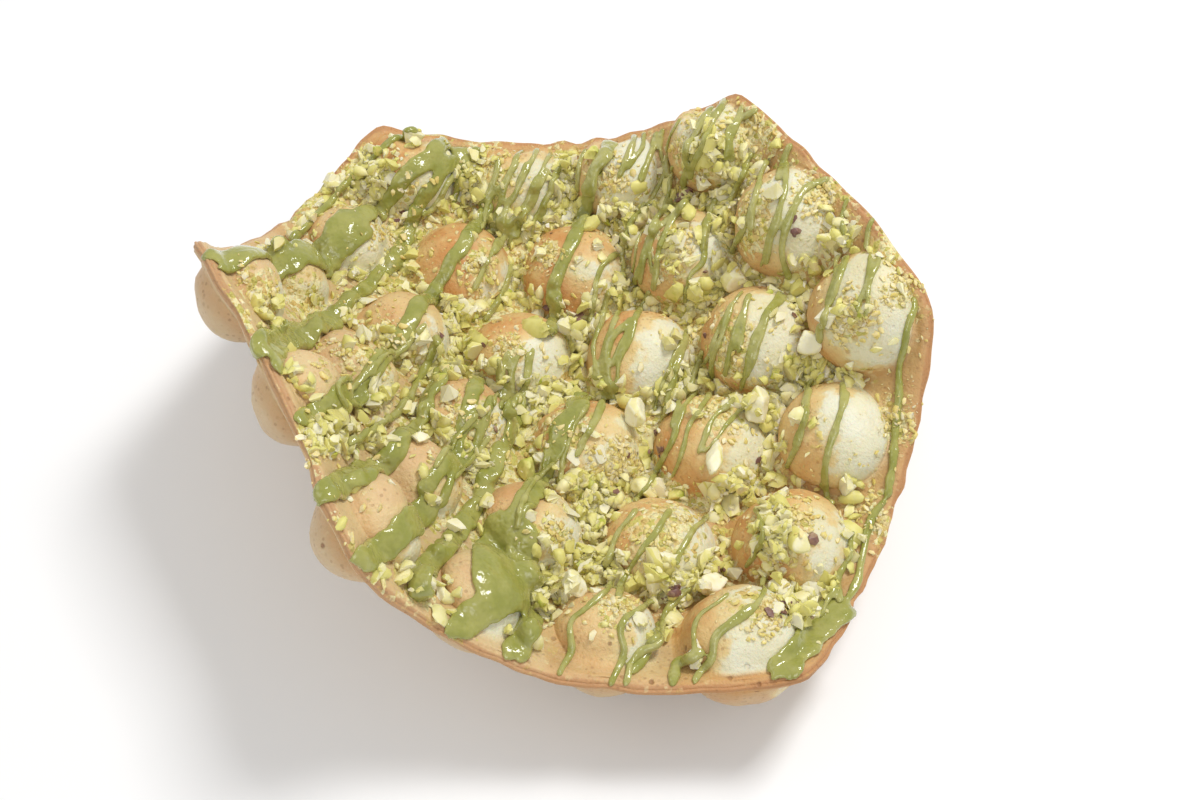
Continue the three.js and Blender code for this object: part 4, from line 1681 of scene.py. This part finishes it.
@dataclass(frozen=True)
class Kernels:
    """The large pieces of pistachio, cut from the nuts of the frame."""

    crust_gap: float = 0.25 * MM
    cuts: int = 5
    cut_depth: tuple[float, float] = (0.5, 0.8)
    voxel: float = 0.42 * MM
    tones: Sizes = (
        (0.15, 0.25, 0.0, 0.1, 0.1, 0.3, 0.15, 1.0, 0.6, 0.9)
        + (0.85, 0.35, 0.3, 0.0, 0.7, 0.15, 0.45, 0.1, 0.2, 0.4)
    )
    plumpness: float = 1.1
    rounding: int = 3
    softening: int = 2
    seed: int = 700
    cut_fade: tuple[float, float] = (0.25 * MM, 0.6 * MM)
    swells: tuple[Swell, Swell] = (Swell(0.2, 3.4 * MM, 50), Swell(0.07, 1.3 * MM))
    crisp: float = 35

    def carve(self, node: str, number: int, tree: BVHTree) -> Object:
        """Rounds one nut, chops flat faces on it and lets it down onto the crust.

        Args:
            node: Name of the nut in the frame.
            number: Picks its cuts.
            tree: The crust.

        Returns:
            The finished nut.
        """
        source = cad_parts[node]
        nut = source.copy()
        nut.data = source.data.copy()
        nut.parent = None
        nut.matrix_world = Matrix.Identity(4)
        for key in list(nut.keys()):
            del nut[key]
        bpy.context.scene.collection.objects.link(nut)
        rename(nut, f"kernel_{number:02d}")
        edit(nut)
        bpy.ops.mesh.remove_doubles(threshold=WELD)
        bpy.ops.mesh.normals_make_consistent(inside=False)
        close()
        finish_with(nut, "SUBSURF", levels=self.rounding, render_levels=self.rounding)
        spots = points_of(nut)
        middle = spots.mean(axis=0)
        rng = np.random.default_rng(self.seed + number)
        spots = middle + (spots - middle) * self.plumpness
        planes = []
        for _ in range(self.cuts):
            way = random_way(rng)
            reach = ((spots - middle) @ way).max() * rng.uniform(*self.cut_depth)
            planes.append((way, reach))
            over = np.clip((spots - middle) @ way - reach, 0, None)
            spots = spots - over[:, None] * way
        put_points(nut, spots)
        finish_with(nut, "REMESH", mode="VOXEL", voxel_size=self.voxel)
        finish_with(nut, "SMOOTH", factor=0.5, iterations=self.softening)
        spots = points_of(nut)
        off = np.stack([np.abs((spots - middle) @ way - reach) for way, reach in planes])
        tone = self.tones[number]
        cut = 1 - ease(off.min(axis=0), *self.cut_fade)
        note(nut, "cut", cut * paleness(tone))
        rough = self.swells[0].over(spots, number) + self.swells[1].over(spots, number)
        spots += unit(spots - middle) * (rough * MM)[:, None]
        gap = min(tree.find_nearest(Vector(spot))[3] for spot in spots)
        down = tree.find_nearest(Vector(middle))[1]
        spots -= np.array(down) * (gap + self.crust_gap)
        put_points(nut, spots)
        note(nut, "tone", np.full(len(spots), tone))
        return nut

    def build(self, tree: BVHTree) -> Object:
        """Carves every nut of the frame and joins them.

        Args:
            tree: The crust.

        Returns:
            The joined nuts, which replace the frame's.
        """
        nodes = sorted(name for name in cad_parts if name.startswith("nut_"))
        nuts = [self.carve(node, number, tree) for number, node in enumerate(nodes)]
        joined = join_all(nuts, "large_nuts")
        smooth(joined, self.crisp)
        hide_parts(*nodes)
        return joined


# ---- Finishes --------------------------------------------------------------------------------

Colour = tuple[float, float, float, float]
MIX_INPUTS = (0, 6, 7)
MIX_RESULT = 2


def paint(red: int, green: int, blue: int) -> Colour:
    """Turns a colour from how it looks on a screen into light.

    Args:
        red: How red it looks, from 0 to 255.
        green: How green.
        blue: How blue.

    Returns:
        The colour for a shader.
    """
    parts = [value / 255 for value in (red, green, blue)]
    light = [v / 12.92 if v <= 0.04045 else ((v + 0.055) / 1.055) ** 2.4 for v in parts]
    return (light[0], light[1], light[2], 1.0)


class Bench:
    """A node tree being wired, for a material or a shared effect."""

    def __init__(self, tree: bpy.types.NodeTree) -> None:
        """Starts on an empty tree."""
        self.tree = tree
        tree.nodes.clear()

    def add(self, kind: str, **inputs: object) -> bpy.types.Node:
        """Adds a node.

        Args:
            kind: Its type without the leading ShaderNode.
            inputs: Sockets or values for its inputs, by name with _ for a space, or its own
                settings where they start with set_.

        Returns:
            The new node.
        """
        node = self.tree.nodes.new(kind if kind.startswith("Node") else f"ShaderNode{kind}")
        for key, value in inputs.items():
            if key.startswith("set_"):
                setattr(node, key[4:], value)
        for key, value in inputs.items():
            if not key.startswith("set_"):
                name = int(key[1:]) if key[1:].isdigit() else key.replace("_", " ")
                self.join(value, node.inputs[name])
        return node

    def join(self, value: object, socket: bpy.types.NodeSocket) -> None:
        """Links a socket, or sets a value, into an input.

        Args:
            value: The socket or the value.
            socket: The input.
        """
        if isinstance(value, bpy.types.NodeSocket):
            self.tree.links.new(value, socket)
        else:
            socket.default_value = value

    def fill(self, node: bpy.types.Node, inputs: dict[str, object]) -> None:
        """Links sockets, or sets values, into a node's inputs by their names."""
        for name, value in inputs.items():
            self.join(value, node.inputs[name])

    def place(self) -> Socket:
        """Where on the piece a point is."""
        return self.add("TexCoord").outputs["Object"]

    def note(self, name: str) -> Socket:
        """Reads a number that a piece keeps for each vertex."""
        return self.add("Attribute", set_attribute_name=name).outputs["Fac"]

    def math(self, action: str, one: object, other: object) -> Socket:
        """Combines two values.

        Args:
            action: What to do with them.
            one: The first.
            other: The second.

        Returns:
            The result.
        """
        node = self.add("Math", set_operation=action)
        self.join(one, node.inputs[0])
        self.join(other, node.inputs[1])
        return node.outputs[0]

    def plus(self, one: object, other: object) -> Socket:
        """The sum of two values."""
        return self.math("ADD", one, other)

    def minus(self, one: object, other: object) -> Socket:
        """One value less another."""
        return self.math("SUBTRACT", one, other)

    def times(self, one: object, other: object) -> Socket:
        """The product of two values."""
        return self.math("MULTIPLY", one, other)

    def ramp(self, value: object, low: float, high: float) -> Socket:
        """Steps smoothly from 0 to 1.

        Args:
            value: The value that decides.
            low: Where it gives 0.
            high: Where it gives 1.

        Returns:
            The step.
        """
        node = self.add("MapRange", set_interpolation_type="SMOOTHSTEP")
        self.fill(node, {"Value": value, "From Min": low, "From Max": high})
        return node.outputs[0]

    def blend(self, share: object, one: object, other: object) -> Socket:
        """Mixes two colours.

        Args:
            share: How much of the second, from 0 to 1.
            one: The first.
            other: The second.

        Returns:
            The mixed colour.
        """
        node = self.add("Mix", set_data_type="RGBA")
        for value, number in zip((share, one, other), MIX_INPUTS, strict=True):
            self.join(value, node.inputs[number])
        return node.outputs[MIX_RESULT]

    def noise(self, place: object, scale: float, detail: float = 3.0) -> Socket:
        """A cloudy pattern with the given number of clouds to the metre."""
        node = self.add("TexNoise", Vector=place, Scale=scale, Detail=detail, Roughness=0.6)
        return node.outputs["Fac"]

    def bump(self, height: object, strength: float, distance: float) -> Socket:
        """A normal for a surface that stands out where the height is high."""
        return self.add("Bump", Height=height, Strength=strength, Distance=distance).outputs[0]


def new_effect(name: str, given: Sequence[str], made: Sequence[str]) -> tuple[Bench, list, list]:
    """Starts a shared effect, which works on a place and numbers and gives numbers.

    Args:
        name: The effect's name.
        given: What its inputs are called, with the place first.
        made: What its outputs are called.

    Returns:
        The bench for its nodes, the sockets of its inputs and those to join its outputs to.
    """
    tree = bpy.data.node_groups.new(name, "ShaderNodeTree")
    for number, label in enumerate(given):
        kind = "NodeSocketFloat" if number else "NodeSocketVector"
        tree.interface.new_socket(label, in_out="INPUT", socket_type=kind)
    for label in made:
        tree.interface.new_socket(label, in_out="OUTPUT", socket_type="NodeSocketFloat")
    bench = Bench(tree)
    start = bench.add("NodeGroupInput")
    end = bench.add("NodeGroupOutput")
    return bench, list(start.outputs), list(end.inputs)


def shared_pores() -> bpy.types.NodeTree:
    """Makes a shared effect: small round pores, some of them missing.

    Returns:
        The effect, which gives a mask from 0 to 1.
    """
    if "pores" in bpy.data.node_groups:
        return bpy.data.node_groups["pores"]
    bench, given, made = new_effect("pores", ("Vector", "Scale", "Size", "Missing"), ("Mask",))
    cells = bench.add("TexVoronoi", Vector=given[0], Scale=given[1])
    ball = bench.ramp(bench.math("DIVIDE", cells.outputs["Distance"], given[2]), 1.0, 0.5)
    parts = bench.add("SeparateColor", Color=cells.outputs["Color"])
    there = bench.math("GREATER_THAN", parts.outputs[0], given[3])
    varied = bench.times(there, bench.ramp(parts.outputs[1], 0.0, 1.4))
    bench.join(bench.times(ball, varied), made[0])
    return bench.tree


def shared_meal() -> bpy.types.NodeTree:
    """Makes a shared effect: fine meal as small heaped grains.

    Returns:
        The effect, which gives the meal's cover, shade and height.
    """
    grain_scale, fine_scale, drift_scale = 760.0, 1500.0, 330
    bench, given, made = new_effect("meal", ("Vector", "Amount"), ("Cover", "Shade", "Height"))
    grains = bench.add("TexVoronoi", Vector=given[0], Scale=grain_scale)
    fines = bench.add("TexVoronoi", Vector=given[0], Scale=fine_scale)
    parts = bench.add("SeparateColor", Color=grains.outputs["Color"])
    drift = bench.noise(given[0], drift_scale, 3)
    loose = bench.plus(bench.times(drift, 0.6), bench.times(parts.outputs[0], 0.5))
    cover = bench.ramp(bench.plus(loose, given[1]), 0.82, 1.1)
    mound = bench.ramp(grains.outputs["Distance"], 0.62, 0.05)
    small = bench.ramp(fines.outputs["Distance"], 0.6, 0.1)
    height = bench.plus(mound, bench.times(small, 0.35))
    bench.join(cover, made[0])
    bench.join(parts.outputs[1], made[1])
    bench.join(bench.times(height, cover), made[2])
    return bench.tree


def pores(bench: Bench, place: Socket, scale: float, size: float, missing: float) -> Socket:
    """Places the shared pores in a material.

    Args:
        bench: The material's bench.
        place: Where on the piece a point is.
        scale: How many cells with a pore there are to the metre.
        size: The pores' radius, in cells.
        missing: The share of cells without a pore.

    Returns:
        The pores' mask.
    """
    node = bench.add("Group", set_node_tree=shared_pores())
    for socket, value in zip(node.inputs, (place, scale, size, missing), strict=False):
        bench.join(value, socket)
    return node.outputs[0]


def new_material(name: str) -> tuple[bpy.types.Material, Bench, bpy.types.Node]:
    """An empty material with its shader wired to the output.

    Args:
        name: The material's name.

    Returns:
        The material, the bench for its nodes, and its shader.
    """
    material = bpy.data.materials.new(name)
    material.use_nodes = True
    bench = Bench(material.node_tree)
    shader = bench.add("BsdfPrincipled")
    output = bench.add("OutputMaterial")
    bench.join(shader.outputs[0], output.inputs[0])
    return material, bench, shader


@dataclass(frozen=True)
class BakedBatter:
    """Golden-brown where it touched the iron, cream where it stood off, full of pores."""

    web: Colour = paint(204, 170, 110)
    web_dark: Colour = paint(184, 142, 84)
    golden: Colour = paint(224, 190, 128)
    brown: Colour = paint(206, 148, 86)
    soft: Colour = paint(226, 204, 158)
    straw: Colour = paint(226, 202, 144)
    cream: Colour = paint(226, 218, 178)
    ivory: Colour = paint(230, 227, 202)
    rim: Colour = paint(206, 160, 104)
    edge: Colour = paint(176, 120, 78)
    below: Colour = paint(204, 182, 152)
    pore: Colour = paint(140, 92, 54)
    meal_pale: Colour = paint(238, 228, 172)
    meal_gold: Colour = paint(214, 184, 110)
    meal_lime: Colour = paint(206, 196, 106)
    cloud_scale: float = 70
    patch_scale: float = 210
    grain_scale: float = 1400
    speck_pores: Sizes = (800, 0.4, 0.3)
    pit_pores: Sizes = (260, 0.2, 0.45)
    relief: float = 1.0 * MM

    def make(self) -> bpy.types.Material:
        """Builds the material.

        Returns:
            The material.
        """
        material, bench, shader = new_material("baked_batter")
        place = bench.place()
        clouds = bench.noise(place, self.cloud_scale, 4)
        patches = bench.noise(place, self.patch_scale, 4)
        grain = bench.noise(place, self.grain_scale, 3)
        tone = bench.note("tone")
        lift = bench.note("lift")
        uneven = bench.plus(bench.times(clouds, 0.6), bench.times(patches, 0.4))
        toast = bench.plus(uneven, bench.times(tone, 0.05))
        dome = bench.blend(bench.ramp(toast, 0.38, 0.62), self.golden, self.brown)
        dome = bench.blend(bench.note("bake"), self.soft, dome)
        dome = bench.blend(bench.times(bench.note("under"), 0.6), dome, self.below)
        web = bench.blend(bench.ramp(uneven, 0.36, 0.62), self.web, self.web_dark)
        web = bench.blend(bench.note("rimward"), web, self.rim)
        unbaked = bench.minus(1.0, bench.note("bake"))
        web = bench.blend(bench.times(unbaked, 0.8), web, self.soft)
        ridge = bench.ramp(bench.note("rimward"), 0.9, 1.0)
        web = bench.blend(bench.times(ridge, 0.55), web, self.edge)
        colour = bench.blend(bench.ramp(lift, 0.1, 0.4), web, dome)
        # Painted shade: a browner ring round each bubble's foot, in the crease where the dome meets
        # the web.
        foot = bench.times(bench.note("foot"), 0.35)
        colour = bench.blend(foot, colour, self.brown)
        pale = bench.plus(bench.note("pale"), bench.times(bench.minus(patches, 0.5), 0.9))
        raised = bench.ramp(lift, 0.12, 0.34)
        halo = bench.times(bench.ramp(pale, -0.34, 0.02), raised)
        colour = bench.blend(halo, colour, self.straw)
        creamy = bench.blend(bench.ramp(clouds, 0.35, 0.65), self.cream, self.ivory)
        inside = bench.times(bench.ramp(pale, -0.04, 0.14), raised)
        colour = bench.blend(inside, colour, creamy)
        specks = pores(bench, place, *self.speck_pores)
        browned = bench.minus(1.0, bench.times(inside, 0.85))
        speckled = bench.times(bench.times(specks, browned), 0.5)
        colour = bench.blend(speckled, colour, self.pore)
        pits = pores(bench, place, *self.pit_pores)
        pitted = bench.times(pits, bench.times(browned, 0.95))
        colour = bench.blend(pitted, colour, self.pore)
        meal = bench.add("Group", set_node_tree=shared_meal())
        bench.join(place, meal.inputs[0])
        above = bench.minus(1.0, bench.note("under"))
        bench.join(bench.times(bench.note("meal"), above), meal.inputs[1])
        gold = bench.blend(bench.ramp(meal.outputs[1], 0.3, 0.6), self.meal_pale, self.meal_gold)
        grains = bench.blend(bench.ramp(meal.outputs[1], 0.7, 0.8), gold, self.meal_lime)
        colour = bench.blend(meal.outputs[0], colour, grains)
        height = bench.plus(bench.times(patches, 0.6), bench.times(grain, 0.34))
        height = bench.minus(height, bench.times(pits, 0.4))
        height = bench.minus(height, bench.times(specks, 0.06))
        height = bench.plus(height, bench.times(meal.outputs[2], 0.55))
        bench.fill(shader, {
            "Base Color": colour,
            "Roughness": bench.plus(bench.times(patches, 0.25), 0.34),
            "Specular IOR Level": 0.4,
            "Subsurface Weight": 0.2,
            "Subsurface Radius": (1.0, 0.6, 0.3),
            "Subsurface Scale": 1.5 * MM,
            "Normal": bench.bump(height, 0.9, self.relief),
        })
        return material


@dataclass(frozen=True)
class PistachioSauce:
    """Thick glossy green sauce with small squiggly swells."""

    name: str
    green: Colour = paint(148, 150, 68)
    light: Colour = paint(168, 166, 90)
    cloud_scale: float = 160
    swell_scale: float = 330
    fine_scale: float = 1600
    relief: float = 1.2 * MM

    def make(self) -> bpy.types.Material:
        """Builds the material.

        Returns:
            The material.
        """
        material, bench, shader = new_material(self.name)
        place = bench.place()
        clouds = bench.noise(place, self.cloud_scale, 3)
        swells = bench.noise(place, self.swell_scale, 2)
        fine = bench.noise(place, self.fine_scale, 2)
        height = bench.plus(swells, bench.times(fine, 0.06))
        bench.fill(shader, {
            "Base Color": bench.blend(bench.ramp(clouds, 0.35, 0.65), self.green, self.light),
            "Roughness": bench.plus(bench.times(fine, 0.1), 0.07),
            "Coat Weight": 0.5,
            "Coat Roughness": 0.05,
            "Subsurface Weight": 0.3,
            "Subsurface Radius": (1.0, 1.0, 0.4),
            "Subsurface Scale": 1.2 * MM,
            "Normal": bench.bump(height, 0.65, self.relief),
        })
        return material


@dataclass(frozen=True)
class NutFlesh:
    """Chopped pistachio: pale lemon where it is cut, lime on its own skin side."""

    name: str
    ivory: Colour = paint(240, 234, 200)
    lemon: Colour = paint(234, 226, 168)
    straw: Colour = paint(226, 208, 140)
    lime: Colour = paint(220, 212, 126)
    deep: Colour = paint(182, 188, 70)
    clouds: float = 240
    grains: float = 2200
    relief: float = 0.4 * MM

    def make(self) -> bpy.types.Material:
        """Builds the material.

        Returns:
            The material.
        """
        material, bench, shader = new_material(self.name)
        place = bench.place()
        patches = bench.noise(place, self.clouds, 3)
        grain = bench.noise(place, self.grains, 3)
        drift = bench.times(bench.minus(patches, 0.5), 1.3)
        tone = bench.plus(bench.note("tone"), drift)
        inner = bench.blend(bench.ramp(tone, 0.15, 0.6), self.ivory, self.lemon)
        inner = bench.blend(bench.ramp(tone, 0.65, 1.05), inner, self.straw)
        outer = bench.blend(bench.ramp(tone, 0.1, 0.5), self.lemon, self.lime)
        outer = bench.blend(bench.ramp(tone, 0.95, 1.15), outer, self.deep)
        cut = bench.plus(bench.note("cut"), bench.times(drift, 0.7))
        height = bench.plus(patches, bench.times(grain, 0.3))
        bench.fill(shader, {
            "Base Color": bench.blend(bench.ramp(cut, 0.25, 0.75), outer, inner),
            "Roughness": bench.plus(bench.times(patches, 0.3), 0.3),
            "Subsurface Weight": 0.4,
            "Subsurface Radius": (1.0, 1.0, 0.5),
            "Subsurface Scale": 1.0 * MM,
            "Normal": bench.bump(height, 0.5, self.relief),
        })
        return material


GOLDEN_CRUMB = NutFlesh(
    "golden_crumb",
    ivory=paint(240, 228, 186),
    lemon=paint(234, 214, 150),
    straw=paint(228, 198, 126),
    lime=paint(224, 204, 122),
    deep=paint(204, 170, 96),
    clouds=500,
)
NUT_SKIN = NutFlesh(
    "nut_skin",
    ivory=paint(168, 140, 110),
    lemon=paint(140, 106, 88),
    straw=paint(128, 92, 80),
    lime=paint(120, 84, 74),
    deep=paint(92, 62, 56),
    clouds=500,
)


@dataclass(frozen=True)
class PaleFloor:
    """A plain pale floor with the faintest clouding."""

    light: Colour = (0.93, 0.93, 0.93, 1.0)
    shade: Colour = (0.9, 0.9, 0.9, 1.0)
    cloud_scale: float = 3

    def make(self) -> bpy.types.Material:
        """Builds the material.

        Returns:
            The material.
        """
        material, bench, shader = new_material("pale_floor")
        clouds = bench.noise(bench.place(), self.cloud_scale, 2)
        colour = bench.blend(clouds, self.light, self.shade)
        bench.fill(shader, {"Base Color": colour, "Roughness": 0.9})
        return material


# ---- The studio ------------------------------------------------------------------------------


@dataclass(frozen=True)
class Lamp:
    """A soft square light."""

    name: str
    place: Sizes
    size: float
    power: float


@dataclass(frozen=True)
class Studio:
    """The camera, the soft lights and the floor."""

    camera_place: Sizes = (189.76 * MM, -114.23 * MM, 302.46 * MM)
    camera_right: Sizes = (0.5132, 0.8579, 0.0270)
    camera_up: Sizes = (-0.6894, 0.3933, 0.6084)
    camera_back: Sizes = (0.5113, -0.3308, 0.7932)
    lens: float = 43.83
    sensor: float = 36.0
    sight: tuple[float, float] = (0.01, 20.0)
    aim: Sizes = (0, 0, 0.03)
    floor_size: float = 3.0
    sky: float = 0.5
    lamps: tuple[Lamp, ...] = (
        Lamp("key", (-0.05, 0.4, 0.8), 0.24, 4.7),
        Lamp("fill", (0.6, -0.4, 0.75), 0.5, 2.0),
        Lamp("side", (-0.6, -0.5, 0.6), 0.5, 1.0),
    )

    def camera(self) -> None:
        """Sets up the camera."""
        made = bpy.data.cameras.new("camera")
        made.lens = self.lens
        made.sensor_width = self.sensor
        made.sensor_fit = "HORIZONTAL"
        made.clip_start, made.clip_end = self.sight
        eye = bpy.data.objects.new("camera", made)
        turn = Matrix((self.camera_right, self.camera_up, self.camera_back)).transposed()
        eye.matrix_world = Matrix.Translation(self.camera_place) @ turn.to_4x4()
        bpy.context.scene.collection.objects.link(eye)
        bpy.context.scene.camera = eye

    def light(self) -> None:
        """Hangs the lamps and brightens the room."""
        for lamp in self.lamps:
            made = bpy.data.lights.new(lamp.name, "AREA")
            made.shape = "SQUARE"
            made.size = lamp.size
            made.energy = lamp.power
            hung = bpy.data.objects.new(lamp.name, made)
            hung.location = lamp.place
            aim = Vector(self.aim) - Vector(lamp.place)
            hung.rotation_euler = aim.to_track_quat("-Z", "Y").to_euler()
            bpy.context.scene.collection.objects.link(hung)
        room = bpy.data.worlds.new("room")
        room.use_nodes = True
        sky = room.node_tree.nodes["Background"]
        sky.inputs["Color"].default_value = (1.0, 1.0, 1.0, 1.0)
        sky.inputs["Strength"].default_value = self.sky
        bpy.context.scene.world = room
        bpy.context.scene.view_settings.view_transform = "Standard"

    def floor(self) -> None:
        """Lays the floor."""
        deselect()
        bpy.ops.mesh.primitive_plane_add(size=self.floor_size)
        plane = bpy.context.active_object
        rename(plane, "floor")
        plane.data.materials.append(PaleFloor().make())


# ---- The whole -------------------------------------------------------------------------------


def dress(piece: Object, finish: Callable[[], bpy.types.Material]) -> None:
    """Gives a piece its material and its body, and reports it.

    Args:
        piece: The piece.
        finish: Makes its material.
    """
    piece.data.materials.clear()
    piece.data.materials.append(finish())
    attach(piece, "root")
    LOG.info("%s: %d triangles", piece.name, len(triangles_of(piece)))


def nuts(name: str) -> Callable[[], bpy.types.Material]:
    """The maker of one piece's own material of nut flesh."""
    return NutFlesh(name).make


def main() -> None:
    """Builds the waffle, pours, scatters and lights it."""
    logging.basicConfig(level=logging.INFO, format="%(message)s")
    deselect()
    studio = Studio()
    studio.camera()
    pour = Pour()

    crust = Crust(Sheet(), Iron(), Rim())
    waffle = crust.build()
    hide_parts("waffle")
    dress(waffle, BakedBatter().make)

    kernels = Kernels().build(tree_of([waffle]))
    dress(kernels, nuts("nut_flesh"))

    chopping = Chopping(pour, crust, tree_of([kernels]))
    chopping.dust(waffle)
    ground = tree_of([waffle, kernels])
    pieces = chopping.scatter(PIECES, ground)
    dress(pieces, nuts("nut_piece_flesh"))
    picked = chopping.set_down(PICKED, ground)
    dress(picked, nuts("nut_picked_flesh"))
    laid = [waffle, kernels, pieces, picked]

    poured = Drizzle(pour, crust, "sauce_streams", STREAMS, seed=21, voxel=0.45 * MM)
    streams = poured.lay(tree_of(laid))
    dress(streams, PistachioSauce("poured_sauce").make)
    bits = chopping.scatter(BITS, tree_of(laid))
    dress(bits, nuts("nut_bit_flesh"))
    laid += [streams, bits]

    trailing = Drizzle(
        pour, crust, "sauce_threads", THREADS, seed=22, voxel=0.34 * MM, overrun=2.2 * MM
    )
    lines = trailing.lay(tree_of(laid))
    trailed = PistachioSauce("trailed_sauce", paint(156, 156, 76), paint(180, 176, 108))
    dress(lines, trailed.make)
    laid.append(lines)

    sprinkling = Chopping(pour, crust, tree_of([kernels, picked, streams, lines]))
    topmost = sprinkling.scatter(TOPMOST, tree_of(laid))
    dress(topmost, nuts("nut_scatter_flesh"))
    crumbs = sprinkling.scatter(CRUMBS, tree_of([waffle, streams, kernels]))
    dress(crumbs, GOLDEN_CRUMB.make)
    skins = sprinkling.scatter(SKINS, tree_of(laid))
    dress(skins, NUT_SKIN.make)

    studio.light()
    studio.floor()


if __name__ == "__main__":
    main()
